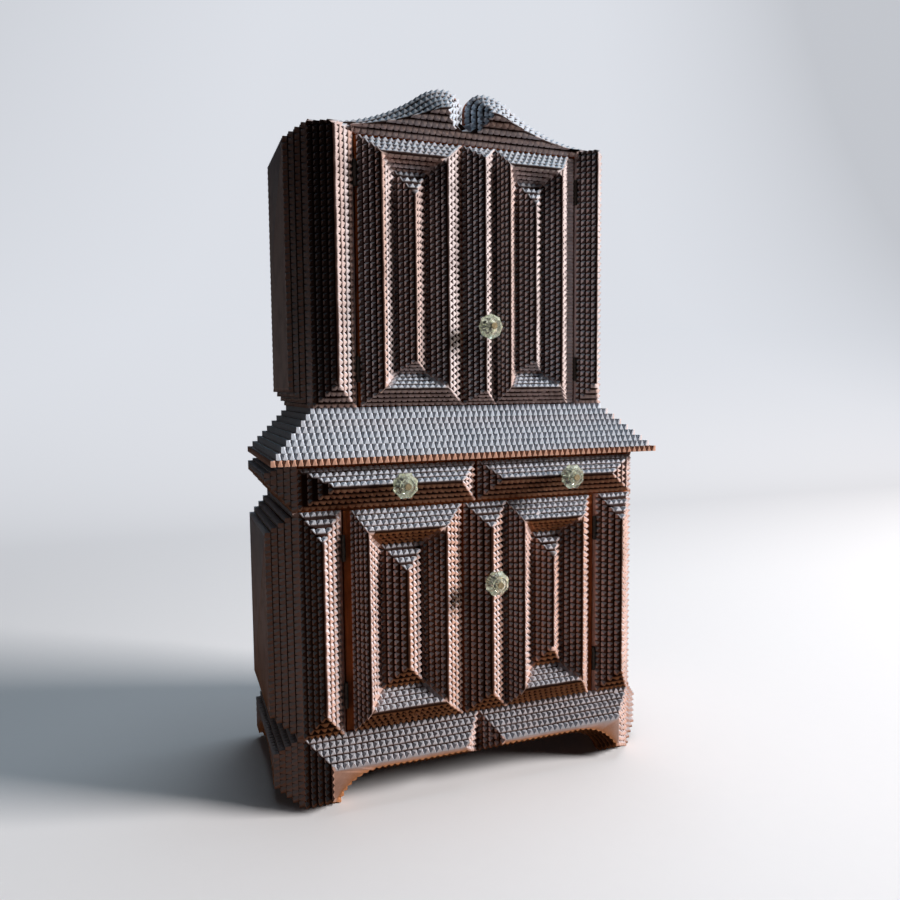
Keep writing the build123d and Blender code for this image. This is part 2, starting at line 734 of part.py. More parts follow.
def make_drawer(name, side, knob_x):
    """Drawer with a stepped front that covers the case edges, a box and a glass knob."""
    z = (drawer_bottom, drawer_top)
    near = drawer_meeting_gap / 2
    x = (side * near, side * lower_half_width)
    ridge_x = (x[0] + side * drawer_inner_run, x[1] - side * drawer_outer_run)
    knob_z = z[0] + (z[1] - z[0]) * drawer_ridge
    through = rod(bolt_hole_radius, knob_x, knob_z, (lower_boards_front, lower_face + front_stack))
    front = block(x, (lower_boards_front, lower_face), z)
    save(f"{name}_front", [front - through])
    strips = front_terrace(x, z, ridge_x, point_at(z, drawer_ridge), lower_face)
    save(f"{name}_front_layers", [strip - through for strip in strips])
    inner = drawer_divider / 2 + drawer_clearance
    outer = lower_half_width - board - drawer_clearance
    box_front = lower_boards_front
    box_back = box_front - drawer_length
    floor_low = drawer_deck + drawer_running_gap
    floor_high = floor_low + drawer_bottom_board
    top = floor_low + drawer_box_height
    pieces = [
        block((side * inner, side * outer), (box_back, box_front), (floor_low, floor_high)),
        block((side * inner, side * outer), (box_back, box_back + fill_board), (floor_high, top)),
    ]
    for edge in (inner, outer - fill_board):
        wall_x = (side * edge, side * (edge + fill_board))
        pieces.append(block(wall_x, (box_back + fill_board, box_front), (floor_high, top)))
    save(f"{name}_box", pieces)
    make_knob(name, knob_x, knob_z, lower_face)


os.makedirs("parts", exist_ok=True)
make_base_boards()
make_base_strips()
make_lower_case()
make_lower_trim()
make_shelf()
make_upper_case()
make_upper_trim()
make_crest()
for each_door in doors:
    make_door(each_door)
make_hinges()
make_drawer("left_drawer", -1, left_drawer_knob_x)
make_drawer("right_drawer", 1, right_drawer_knob_x)
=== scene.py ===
import random
from collections import namedtuple
from math import acos, atan, ceil, cos, degrees, pi, radians, sin, sqrt

import bmesh
import bpy
from bpy.props import FloatProperty, FloatVectorProperty, IntProperty, PointerProperty
from mathutils import Euler, Matrix, Vector


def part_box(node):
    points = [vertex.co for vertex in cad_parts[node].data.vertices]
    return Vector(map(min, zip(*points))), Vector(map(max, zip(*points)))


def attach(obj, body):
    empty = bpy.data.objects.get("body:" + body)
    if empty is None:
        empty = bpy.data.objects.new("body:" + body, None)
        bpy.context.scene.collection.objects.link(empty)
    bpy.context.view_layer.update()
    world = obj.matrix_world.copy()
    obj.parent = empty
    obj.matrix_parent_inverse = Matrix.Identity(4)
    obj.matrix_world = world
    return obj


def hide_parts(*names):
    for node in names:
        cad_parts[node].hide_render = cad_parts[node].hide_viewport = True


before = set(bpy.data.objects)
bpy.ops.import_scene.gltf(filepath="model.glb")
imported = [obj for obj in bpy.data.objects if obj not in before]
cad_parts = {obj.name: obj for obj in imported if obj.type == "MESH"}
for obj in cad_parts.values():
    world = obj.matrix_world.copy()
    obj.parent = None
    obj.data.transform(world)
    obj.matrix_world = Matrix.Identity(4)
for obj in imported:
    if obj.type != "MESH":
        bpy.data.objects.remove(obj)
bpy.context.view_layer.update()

bl_info = {
    "name": "Notched Table Cabinet",
    "version": (1, 0, 0),
    "blender": (4, 5, 0),
    "location": "View3D > Sidebar > Cabinet",
    "description": "Dresses a small two-part cabinet in notched strips, varnish, glass knobs and a studio",
    "category": "Object",
}

MM = 0.001

# Points nearer than EPS are one point, and faces nearer than TOUCH lie on each other
EPS = 2e-5
TOUCH = EPS * 3

QUARTERS = ("lower_left", "lower_right", "upper_left", "upper_right")
DRAWERS = ("left_drawer", "right_drawer")
BOARDS = ("board_across", "board_deep", "board_upright")

# Layers and steps of the CAD solids: a thicker layer is a board, and a much thinner one is ribbed
LAYER = 5.0 * MM
BOARD_LEAST = 1.2 * LAYER
RIBBED_MOST = 0.5 * LAYER
ARCH_TOP = 26.0 * MM
ARCH_RADIUS = 37.92 * MM
ARCH_STEP = 3.0 * MM
FRONT_ARCH = 106.0 * MM
SIDE_ARCH = (5.5 * MM, 36.5 * MM)
OUTER_STEP = 5.48 * MM
SEAM_STEP = 4.2 * MM
FOOT_STEP = 3.2 * MM
SIDE_STEPS = (4.8 * MM, 2.4 * MM)
SHELF_STRIP = 24.0 * MM
SHELF_FOOT = 324.0 * MM

# Curves of the crest, from its crown and lobe down to its sweep and shoulder
CREST_STEP = 5.0 * MM
CREST_TOP = 680.0 * MM
CREST_CROWN = 45.0 * MM
CREST_LOBE = 18.0 * MM
CREST_LOBE_X = 20.0 * MM
CREST_WEB = 648.0 * MM
CREST_HALF = 154.0 * MM
CREST_SWEEP_X = 150.0 * MM
CREST_LEAN = 2 * atan(42.5 / 130.0)
CREST_SWEEP = 130.0 * MM / sin(CREST_LEAN) - CREST_CROWN
CREST_SHOULDER = 636.0 * MM
PILASTER_SETBACK = 1.6 * MM

# Limits of the knife work. A notch takes up no more than a share of its strip's width, so that those
# from both edges don't meet, and slants are margins at slanted corners, as shares of a notch's depth
LEAST_NOTCH = 0.65 * MM
CORNER_GAP = 0.35 * MM
MIDDLE_SHARE = 0.46
FOOT_SHARE = 0.42
WEB_SHARE = 0.4
ARCH_SLANT = 1.3
CREST_SLANT = 0.3
DEPTH_SPREAD = 0.14

# Least room between the margins and widest step, both in pitches, and the fineness of arcs in degrees
LEAST_ROOM = -0.2
WIDEST_STEP = 1.25
ARC_STEP = 3.0

# Ribs as shares of their pitch and thickness, and which way a strip's bottom, right, top and left edges
# face, for dusting and painted sky reflection
RIB_PROFILE = ((0.01, 0.45), (0.28, 0.9), (0.50, 1.0), (0.72, 0.9))
EDGE_FILMS = (-1, 0, 1, 0)

# Finish of the strips: how dark their backs and broad faces are painted, as part of the painted shade of the
# notches, and the heights where it changes
BACK_DIP = 0.62
OUTER_DIP = 0.72
BROAD_FACE = 40.0 * MM
KNIFE_LEAN = 0.8
RED_BELOW = 260.0 * MM
BROWN_ABOVE = 420.0 * MM
DIMMEST_BELOW = 70.0 * MM
PALEST_ABOVE = 160.0 * MM

# Streaks of grain in a metre of board, along it and across it
GRAIN_LONG = 9.0
GRAIN_ACROSS = 120.0

# Stations of a glass knob in mm: distance out, radius, and how flat-sided it is
KNOB_STEM = ((0, 5.2, 0), (2.0, 5.2, 0), (2.6, 4.4, 0), (6.0, 4.3, 0))
FLOWER_HEAD = ((8.2, 7.0, 0.4), (10.2, 11.6, 1), (11.2, 12.4, 1), (13.6, 12.4, 1), (15.4, 11.4, 0.8),
               (17.6, 9.8, 0.9), (19.3, 7.6, 0.6), (18.6, 6.2, 0.2), (18.8, 4.6, 0), (20.3, 4.0, 0),
               (20.5, 3.0, 0))
CUT_HEAD = ((8.0, 7.2, 0.6), (10.2, 11.4, 1), (11.0, 12.4, 1), (13.4, 12.4, 1), (19.8, 7.4, 1),
            (20.5, 6.9, 1))
KNOB_BORE = ((20.5, 1.8, 0), (0, 1.8, 0))
SEGMENTS_A_SIDE = 8
PETAL_DEPTH = 0.10
PETAL_ROUNDING = 1.5

# Studio: the paper sweep, the room's strengths, the lamps' aim and the camera, in metres and degrees
SWEEP_HALF = 9.0
SWEEP_FRONT = -4.0
SWEEP_BACK = 1.4
SWEEP_BEND = 1.2
SWEEP_TOP = 5.0
ROOM_THROWN = 0.012
ROOM_SEEN = 0.45
MIDDLE = (0.0, 0.0, 0.32)
LEFT_FOOT = (-0.18, -0.06, 0.08)
CAMERA_PLACE = (-0.28716, -0.76527, 0.39226)
CAMERA_DOWN = 4.628
CAMERA_TURN = -20.505
CAMERA_ROLL = -0.509
CAMERA_LENS = 30.70
CAMERA_SENSOR = 36.0


def tint(**about):
    """Colour that a user may change."""
    return FloatVectorProperty(subtype="COLOR", size=3, **about)


def length(**about):
    """Length that a user may change."""
    return FloatProperty(unit="LENGTH", **about)


def share(**about):
    """Share of something that a user may change."""
    return FloatProperty(subtype="FACTOR", **about)


class CabinetSizes(bpy.types.PropertyGroup):
    """Sizes of the knife work, which the boards themselves don't set."""

    notch_pitch: length(
        name="Notch pitch", description="Distance from one notch to the next along a strip",
        default=0.0061, min=0.003, max=0.02)
    notch_depth: length(
        name="Notch depth", description="Greatest depth of a notch from the edge of its strip",
        default=0.0046, min=0.001, max=0.008)
    notch_reach: share(
        name="Notch reach", description="Share of a strip's exposed ledge that its notches take up",
        default=0.97, min=0.3, max=1.0)
    notch_mouth: share(
        name="Notch mouth", description="Width of a notch at the edge, as a share of the pitch",
        default=0.90, min=0.3, max=0.98)
    knife_slope: share(
        name="Knife slope", description="Depth of a notch at the back of its strip as a share of the front",
        default=0.30, min=0.02, max=1.0)
    notch_taper: share(
        name="Notch taper", description="How much narrower a notch is at the back of its strip",
        default=0.62, min=0.0, max=0.95)
    hand_wander: share(
        name="Hand wander", description="Unevenness of the notches as a share of the pitch",
        default=0.05, min=0.0, max=0.3)
    rib_pitch: length(
        name="Rib pitch", description="Distance between the ribs of the strip beside an upper door",
        default=0.0037, min=0.001, max=0.01)
    knob_sides: IntProperty(
        name="Knob sides", description="Flat sides round the head of a pressed glass knob",
        default=8, min=4, max=16)


class CabinetFinish(bpy.types.PropertyGroup):
    """Colours of the varnish, bare wood, glass, metal and studio."""

    # Dark colour of the varnish, also used as painted shade in the notches
    dark_varnish_and_shade: tint(
        name="Varnish in recesses", description="Colour where dark varnish has pooled",
        default=(0.018, 0.007, 0.005))
    varnish_brown: tint(
        name="Varnish", description="Main colour of the varnished strips",
        default=(0.080, 0.046, 0.038))
    varnish_warm: tint(
        name="Varnish below", description="Main colour of the strips on the lower case, which is redder",
        default=(0.215, 0.088, 0.045))
    # Pale colour of the tips: wear, and painted highlight for the varnish's sheen under the key lamp
    pale_tip_wear_and_highlight: tint(
        name="Worn tips", description="Colour of the tips of the notches, where varnish is thin",
        default=(0.76, 0.67, 0.67))
    # Redder pale colour of the tips on the lower case: wear, and painted highlight
    red_tip_wear_and_highlight: tint(
        name="Worn tips below", description="Colour of the tips on the lower case, which is redder",
        default=(0.72, 0.50, 0.44))
    # Orange colour that tips on edges facing down on the lower case, and tips of a warm random tone, take
    # instead of the pale one
    varnish_orange: tint(
        name="Clean varnish", description="Colour of the tips that face down, which no light has bleached",
        default=(0.58, 0.25, 0.115))
    # Dusting colour, whose pale blue also paints the sky lamp's reflection on faces that point up
    dust_and_sky_reflection: tint(
        name="Dust", description="Pale film on the faces that point up",
        default=(0.57, 0.73, 0.87))
    board_brown: tint(
        name="Board", description="Main colour of the varnished plain boards",
        default=(0.660, 0.190, 0.055))
    board_dark: tint(
        name="Board grain", description="Colour of the dark grain in the plain boards",
        default=(0.110, 0.032, 0.012))
    bare_light: tint(
        name="Bare wood", description="Light colour of the unfinished drawer boards",
        default=(0.46, 0.29, 0.16))
    bare_dark: tint(
        name="Bare wood grain", description="Grain colour of the unfinished drawer boards",
        default=(0.25, 0.135, 0.065))
    glass_tint: tint(
        name="Glass tint", description="Faint colour of the pressed glass",
        default=(0.88, 0.93, 0.76))
    brass: tint(
        name="Brass", description="Colour of the knob bolts",
        default=(0.38, 0.30, 0.17))
    iron: tint(
        name="Iron", description="Colour of the hinges and pins",
        default=(0.040, 0.030, 0.024))
    paper: tint(
        name="Studio paper", description="Colour of the floor",
        default=(0.82, 0.82, 0.84))
    backdrop: tint(
        name="Backdrop", description="Colour of the paper behind the object",
        default=(0.72, 0.745, 0.80))
    paper_bounce: tint(
        name="Paper bounce", description="Colour with which the paper lights the object from below",
        default=(0.050, 0.031, 0.022))
    world_pale: tint(
        name="Surroundings", description="Colour of the room as the camera, glass and gloss see it",
        default=(0.74, 0.76, 0.82))
    world_dim: tint(
        name="Room light", description="Colour of the faint light that the room throws on the object",
        default=(0.70, 0.80, 1.0))


class Wire:
    """A shader socket that adds Math nodes when it is used in an expression."""

    def __init__(self, shader, socket):
        self.shader = shader
        self.socket = socket

    def __add__(self, other):
        return self.shader.math("ADD", self, other)

    def __radd__(self, other):
        return self.shader.math("ADD", other, self)

    def __sub__(self, other):
        return self.shader.math("SUBTRACT", self, other)

    def __rsub__(self, other):
        return self.shader.math("SUBTRACT", other, self)

    def __mul__(self, other):
        return self.shader.math("MULTIPLY", self, other)

    def __rmul__(self, other):
        return self.shader.math("MULTIPLY", other, self)

    def clamped(self):
        return self.shader.math("MINIMUM", self.shader.math("MAXIMUM", self, 0.0), 1.0)


class Shader:
    """Node tree of a new material or world."""

    def __init__(self, owner):
        owner.use_nodes = True
        self.owner = owner
        self.tree = owner.node_tree
        self.tree.nodes.clear()

    def node(self, kind, settings=None, output=0, **inputs):
        """Adds a node, sets its settings, then its sockets, and returns one output, or several.

        A socket goes by its name, with _ for a space, or by i and its number.
        """
        made = self.tree.nodes.new(kind)
        for key, value in (settings or {}).items():
            if key == "stops":
                self.set_stops(made.color_ramp, value)
            else:
                setattr(made, key, value)
        for key, value in inputs.items():
            numbered = key[0] == "i" and key[1:].isdigit()
            socket = made.inputs[int(key[1:]) if numbered else key.replace("_", " ")]
            if isinstance(value, Wire):
                self.tree.links.new(value.socket, socket)
            else:
                socket.default_value = value
        if isinstance(output, tuple):
            return [Wire(self, made.outputs[key]) for key in output]
        return Wire(self, made.outputs[output]) if made.outputs else None

    def set_stops(self, ramp, stops):
        while len(ramp.elements) > 1:
            ramp.elements.remove(ramp.elements[-1])
        ramp.elements[0].position, ramp.elements[0].color = stops[0]
        for position, color in stops[1:]:
            ramp.elements.new(position).color = color

    def math(self, operation, first, second):
        return self.node("ShaderNodeMath", {"operation": operation}, i0=first, i1=second)

    def vector(self, operation, first, second=(0.0, 0.0, 0.0)):
        return self.node("ShaderNodeVectorMath", {"operation": operation}, i0=first, i1=second)

    def blend(self, factor, first, second):
        """Colour between two colours."""
        first, second = (color if isinstance(color, Wire) else opaque(color) for color in (first, second))
        return self.node("ShaderNodeMix", {"data_type": "RGBA"}, output=2, i0=factor, i6=first, i7=second)

    def coordinates(self, kind="Object"):
        return self.node("ShaderNodeTexCoord", output=kind)

    def attribute(self, name, kind):
        return self.node("ShaderNodeAttribute", {"attribute_name": name}, output=kind)

    def noise(self, vector, scale, detail=4.0, roughness=0.6, distortion=0.0):
        """Cloudy numbers from 0 to 1, with so many clouds to a metre."""
        return self.node("ShaderNodeTexNoise", Vector=vector, Scale=scale, Detail=detail,
                         Roughness=roughness, Distortion=distortion)

    def ramp(self, factor, *stops):
        """Numbers eased between stops given as (position, level)."""
        colors = [(position, (level, level, level, 1.0)) for position, level in stops]
        return self.node("ShaderNodeValToRGB", {"stops": colors}, Fac=factor)

    def channels(self, color):
        """The three channels of a colour as numbers."""
        return self.node("ShaderNodeSeparateColor", output=(0, 1, 2), i0=color)

    def axes(self, vector):
        """The three parts of a vector as numbers."""
        return self.node("ShaderNodeSeparateXYZ", output=(0, 1, 2), i0=vector)

    def bump(self, height, strength, distance):
        return self.node("ShaderNodeBump", Strength=strength, Distance=distance, Height=height)

    def surface(self, **inputs):
        """Ends the tree in a principled surface."""
        body = self.node("ShaderNodeBsdfPrincipled", **inputs)
        self.node("ShaderNodeOutputMaterial", Surface=body)
        return self.owner


def opaque(color):
    return (*color, 1.0)


def darker(color, level):
    return tuple(channel * level for channel in color)


def varnished_strips(finish, name):
    """Dark varnish over notched strips, pooled in the recesses as painted shade, pale on the tips with wear
    and painted highlight, and with dusting and painted sky reflection on top.

    The tips that face +X carry the most painted highlight, and those that face -X only at their points,
    which leaves them in painted shade.
    """
    shader = Shader(bpy.data.materials.new(name))
    dip, tone, film = shader.channels(shader.attribute("chip", "Color"))
    lean = shader.attribute("lean", "Vector")
    place = shader.coordinates()
    height = shader.axes(place)[2]
    up = shader.axes(shader.coordinates("Normal"))[2]
    proud = 1.0 - dip
    along = shader.node("ShaderNodeUVMap", {"uv_map": "grain"})
    grain = shader.noise(shader.vector("MULTIPLY", along, (35.0, 620.0, 1.0)), 1.0, 5.0, 0.65)
    blotch = shader.noise(place, 38.0)
    fine = shader.noise(place, 900.0, 3.0, 0.7)

    # Varnish, redder on the lower case
    upper = shader.ramp(height, (RED_BELOW, 0.0), (BROWN_ABOVE, 1.0))
    shade = (tone * 0.5 + blotch * 0.6 + grain * 0.45 - 0.30).clamped()
    brown = shader.blend(upper, finish.varnish_warm, finish.varnish_brown)
    color = shader.blend(shade, finish.dark_varnish_and_shade, brown)

    # Wear on the tips, and painted highlight: their pale colour also stands for the varnish's sheen under
    # the key lamp. Tips on edges that face down on the lower case, and tips of a warm random tone, take the
    # orange colour instead.
    under = (0.0 - film).clamped() * (1.0 - upper * 0.9)
    warmer = shader.ramp(tone, (0.50, 0.0), (1.0, 0.45))
    wear_and_highlight_color = shader.blend(upper, finish.red_tip_wear_and_highlight, finish.pale_tip_wear_and_highlight)
    wear_and_highlight_color = shader.blend(shader.math("MAXIMUM", under, warmer), wear_and_highlight_color, finish.varnish_orange)
    thin = shader.ramp(blotch + fine * 0.3, (0.40, 0.60), (0.70, 1.0))
    # Painted highlight and shade by side: tips whose knife slope faces +X, towards the key lamp, are painted
    # pale, and those facing -X hardly at all
    key_side_highlight = shader.ramp(shader.axes(lean)[0] * 0.5 + 0.5, (0.05, 0.08), (0.42, 1.0))
    wear_and_highlight_mask = shader.ramp(proud, (0.0, 0.10), (0.36, 1.0)) * thin * key_side_highlight
    # Painted highlight: pale dots at the very points of the tips, on every side
    points = shader.ramp(proud, (0.80, 0.0), (0.97, 0.95))
    color = shader.blend(shader.math("MAXIMUM", wear_and_highlight_mask, points) * 0.96, color, wear_and_highlight_color)

    # Dusting on what faces up, whose pale blue also paints the sky lamp's reflection, darker towards the
    # base, and then the dark varnish pooled in the notches, which also paints their shade
    upward_mask = (film.clamped() * 0.9 + shader.ramp(up, (0.35, 0.0), (0.75, 0.7))).clamped()
    dust_and_sky_mask = upward_mask * shader.ramp(fine, (0.30, 0.60), (0.65, 1.0))
    dust_and_sky_mask = dust_and_sky_mask * shader.ramp(proud, (0.05, 0.2), (0.40, 1.0))
    above_base = shader.ramp(height, (DIMMEST_BELOW, 0.0), (PALEST_ABOVE, 1.0))
    color = shader.blend(dust_and_sky_mask * 0.88, color, shader.blend(above_base, darker(finish.dust_and_sky_reflection, 0.58), finish.dust_and_sky_reflection))
    # Painted shade: the dark varnish pooled on the notch floors also darkens them as shade would
    color = shader.blend(shader.ramp(dip, (0.64, 0.0), (1.0, 0.90)), color, finish.dark_varnish_and_shade)

    # Grain, and the slope that the knife gives each tooth
    rough = 0.46 + fine * 0.14 + dust_and_sky_mask * 0.12
    bump = shader.bump(grain * 0.7 + fine * 0.5, 0.35, 0.0006)
    spaces = {"vector_type": "VECTOR", "convert_from": "OBJECT", "convert_to": "WORLD"}
    slope = shader.vector("MULTIPLY", lean, (KNIFE_LEAN,) * 3)
    turned = shader.node("ShaderNodeVectorTransform", spaces, Vector=slope)
    facing = shader.vector("NORMALIZE", shader.vector("ADD", bump, turned))
    return shader.surface(Base_Color=color, Roughness=rough.clamped(), Normal=facing,
                          Specular_IOR_Level=0.03, IOR=1.2)


def varnished_board(finish, name):
    """Satin brown varnish over a plain board, with its grain along the axis that its name gives."""
    shader = Shader(bpy.data.materials.new(name))
    place = shader.coordinates()
    stretch = tuple(GRAIN_LONG if board == name else GRAIN_ACROSS for board in BOARDS)
    along = shader.vector("MULTIPLY", place, stretch)
    warp = shader.noise(along, 1.0, 3.0, 0.55, 0.8)
    bands = shader.ramp(warp, (0.30, 0.0), (0.48, 0.55), (0.60, 0.25), (0.78, 1.0))
    pores = shader.noise(along, 4.6, 5.0, 0.7)
    spots = shader.noise(place, 24.0)
    mask = (bands * 0.55 + pores * 0.5 + spots * 0.35 - 0.12).clamped()
    color = shader.blend(mask, finish.board_dark, finish.board_brown)
    soiled = shader.ramp(spots, (0.34, 0.75), (0.55, 0.0))
    color = shader.blend(soiled * 0.6, color, finish.dark_varnish_and_shade)
    return shader.surface(Base_Color=color, Roughness=0.34 + pores * 0.20,
                          Normal=shader.bump(pores, 0.25, 0.0005),
                          Coat_Weight=0.03, Coat_Roughness=0.2, Specular_IOR_Level=0.12, IOR=1.2)


def bare_board(finish, name):
    """Unfinished thin wood of the drawer boxes."""
    shader = Shader(bpy.data.materials.new(name))
    place = shader.coordinates()
    along = shader.vector("MULTIPLY", place, (9.0, 140.0, 140.0))
    warp = shader.noise(along, 1.0, 4.0, 0.6, 0.6)
    pores = shader.noise(along, 5.0, 4.0, 0.7)
    stain = shader.noise(place, 18.0, 3.0)
    mask = (warp * 0.7 + pores * 0.4 - 0.1).clamped()
    color = shader.blend(mask, finish.bare_dark, finish.bare_light)
    color = shader.blend(shader.ramp(stain, (0.35, 0.5), (0.6, 0.0)), color, finish.board_dark)
    return shader.surface(Base_Color=color, Roughness=0.62 + pores * 0.2,
                          Normal=shader.bump(pores, 0.3, 0.0005))


def pressed_glass(finish, name):
    """Clear pressed glass with a faint tint and a scuffed, slightly wavy surface."""
    shader = Shader(bpy.data.materials.new(name))
    place = shader.coordinates()
    ripple = shader.noise(place, 260.0, 2.0, 0.5)
    haze = shader.noise(place, 700.0, 3.0)
    return shader.surface(Base_Color=opaque(finish.glass_tint), Roughness=0.03 + haze * 0.06,
                          Normal=shader.bump(ripple, 0.18, 0.0008), Transmission_Weight=0.80, IOR=1.5)


def aged_metal(finish, name):
    """Brass or iron dulled by handling, darker where hands never polish it."""
    shader = Shader(bpy.data.materials.new(name))
    color, rough = {"brass": (finish.brass, 0.34), "iron": (finish.iron, 0.48)}[name]
    place = shader.coordinates()
    tarnish = shader.noise(place, 420.0, 4.0, 0.65)
    scratch = shader.noise(shader.vector("MULTIPLY", place, (900.0, 900.0, 120.0)), 1.0, 3.0)
    clean = shader.ramp(tarnish, (0.35, 0.0), (0.68, 1.0))
    return shader.surface(Base_Color=shader.blend(clean, darker(color, 0.35), color),
                          Roughness=rough + (1.0 - clean) * 0.25,
                          Normal=shader.bump(scratch, 0.2, 0.0002), Metallic=0.9)


def seen_directly(shader):
    """Factor that is 1 for rays from the camera, from gloss and through glass."""
    names = ("Is Camera Ray", "Is Glossy Ray", "Is Transmission Ray")
    camera, gloss, glass = shader.node("ShaderNodeLightPath", output=names)
    return shader.math("MAXIMUM", shader.math("MAXIMUM", camera, gloss), glass)


def studio_paper(finish, name):
    """Matt paper, pale where it is seen and duller where it throws light back at the object."""
    shader = Shader(bpy.data.materials.new(name))
    place = shader.coordinates()
    fibre = shader.noise(place, 60.0, 3.0)
    color = shader.blend(fibre, darker(finish.paper, 0.985), finish.paper)
    floor = shader.node("ShaderNodeBsdfDiffuse", Color=color)
    across, deep, high = shader.axes(place)

    # The wall's glow has painted shade that darkens it upwards and to its sides, and the wall starts half a
    # metre behind the object
    aside = across * 0.45 - 0.44
    fade = shader.ramp(aside * aside * high * 0.5, (0.12, 0.0), (1.0, 1.0))
    shaded = shader.blend(fade, finish.backdrop, darker(finish.backdrop, 0.76))
    wall = shader.node("ShaderNodeEmission", Color=shaded, Strength=1.0)
    back = shader.ramp(deep * 0.25, (0.12, 0.0), (0.62, 1.0))
    seen = shader.node("ShaderNodeMixShader", Fac=back, i1=floor, i2=wall)
    thrown = shader.node("ShaderNodeBsdfDiffuse", Color=opaque(finish.paper_bounce))
    mixed = shader.node("ShaderNodeMixShader", Fac=seen_directly(shader), i1=thrown, i2=seen)
    shader.node("ShaderNodeOutputMaterial", Surface=mixed)
    return shader.owner


MAKERS = {"varnished_strips": varnished_strips, "bare_board": bare_board, "pressed_glass": pressed_glass,
          "brass": aged_metal, "iron": aged_metal, "studio_paper": studio_paper,
          **dict.fromkeys(BOARDS, varnished_board)}


def finish_of(name):
    """Material of one finish, made the first time it is asked for."""
    return bpy.data.materials.get(name) or MAKERS[name](bpy.context.scene.cabinet_finish, name)


def new_object(name, data, finish=None):
    """Object for a new mesh, lamp or camera, put in the scene with its finish."""
    made = bpy.data.objects.new(name, data)
    bpy.context.scene.collection.objects.link(made)
    if finish:
        data.materials.append(finish_of(finish))
    return made


def stand_for(piece, body, nodes, slot):
    """Declares a piece: what it rides on, what it stands for and its finish."""
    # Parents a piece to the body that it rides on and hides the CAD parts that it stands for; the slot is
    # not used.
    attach(piece, body)
    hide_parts(*nodes)


class Side:
    """A side of the cabinet that strips are stacked on: the axis it looks along, and which way."""

    def __init__(self, axis, sign):
        self.axis = axis
        self.sign = sign
        self.axes = [other for other in range(3) if other != axis]

    def place(self, u, v, level):
        """Point of the frame, from its place in the strips' plane and its level outwards."""
        point = [u, v]
        point.insert(self.axis, self.sign * level)
        return Vector(point)

    def levels(self, block):
        """Inner and outer level of a block."""
        return sorted((self.sign * block.low[self.axis], self.sign * block.high[self.axis]))


FRONT = Side(1, -1)
LEFT = Side(0, -1)
RIGHT = Side(0, 1)
TOP = Side(2, 1)


class Block:
    """Bounds of one solid of a CAD node, with the levels that its corners lie on."""

    def __init__(self, points):
        self.low = Vector([min(point[axis] for point in points) for axis in range(3)])
        self.high = Vector([max(point[axis] for point in points) for axis in range(3)])
        self.size = self.high - self.low
        self.levels = [sorted({round(point[axis], 5) for point in points}) for axis in range(3)]

    def within(self, other, axes):
        """True where this block lies within another along these axes."""
        return all(self.low[axis] > other.low[axis] - TOUCH and self.high[axis] < other.high[axis] + TOUCH
                   for axis in axes)


def blocks_of(node):
    """Solids of a CAD node as blocks: faces follow one another until each shell has closed."""
    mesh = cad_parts[node].data
    keys = [tuple(round(value, 6) for value in vertex.co) for vertex in mesh.vertices]
    found = []
    points = []
    unpaired = set()
    for face in mesh.polygons:
        corners = [keys[index] for index in face.vertices]
        points.extend(mesh.vertices[index].co for index in face.vertices)
        for first, second in zip(corners, corners[1:] + corners[:1]):
            unpaired ^= {(min(first, second), max(first, second))}
        if not unpaired:
            found.append(Block(points))
            points = []
    if unpaired:
        raise RuntimeError("open shell in " + node)
    return found


def layers_of(node, side):
    """Blocks of a CAD node, grouped by the level they start at."""
    layers = {}
    for block in blocks_of(node):
        layers.setdefault(round(side.levels(block)[0], 4), []).append(block)
    return layers


def stacks_of(node, side):
    """Blocks of a CAD node sorted into stacks of strips, each glued on the one before it."""
    stacks = []
    for block in sorted(blocks_of(node), key=lambda block: side.levels(block)[0]):
        under = [stack for stack in stacks if block.within(stack[-1], side.axes)
                 and abs(side.levels(stack[-1])[1] - side.levels(block)[0]) < TOUCH]
        if under:
            a, b = side.axes
            min(under, key=lambda stack: stack[-1].size[a] * stack[-1].size[b]).append(block)
        else:
            stacks.append([block])
    return stacks


def rectangle(x0, y0, x1, y1):
    """Corners of a rectangle, counter-clockwise from the lowest."""
    return [(x0, y0), (x1, y0), (x1, y1), (x0, y1)]


def outside_of(block, axes):
    """Corners of a block in the plane of two axes."""
    a, b = axes
    return rectangle(block.low[a], block.low[b], block.high[a], block.high[b])


def hole_of(block, axes):
    """Corners of the rectangular hole through a ring, or None."""
    first, second = (block.levels[axis] for axis in axes)
    if len(first) != 4 or len(second) != 4:
        return None
    return rectangle(first[1], second[1], first[2], second[2])


def steps_between(first, second):
    """How far apart two rectangles' edges are: at the bottom, right, top and left."""
    return [abs(first[0][1] - second[0][1]), abs(first[1][0] - second[1][0]),
            abs(first[2][1] - second[2][1]), abs(first[3][0] - second[3][0])]


def ledges(stack, index, axes, corners_of):
    """How much of each edge of a strip shows beside the next one up the stack."""
    if len(stack) < 2:
        return [1.0] * 4
    lower = min(index, len(stack) - 2)
    return steps_between(corners_of(stack[lower], axes), corners_of(stack[lower + 1], axes))


def edge_point(front, back=None, dip=0.0, film=0.0, lean=(0.0, 0.0)):
    """One point of a strip's outline, in the strip's plane, on its front and on its back.

    The dip is 1 for the floor of a notch, where its painted shade is darkest, the film is 1 for an edge that
    faces up, which gets dusting and painted sky reflection, and -1 for one that faces down, and the lean is
    the way in which the knife has sloped the face there, which also sets its painted highlight by side.
    """
    return tuple(front), tuple(front if back is None else back), dip, film, lean


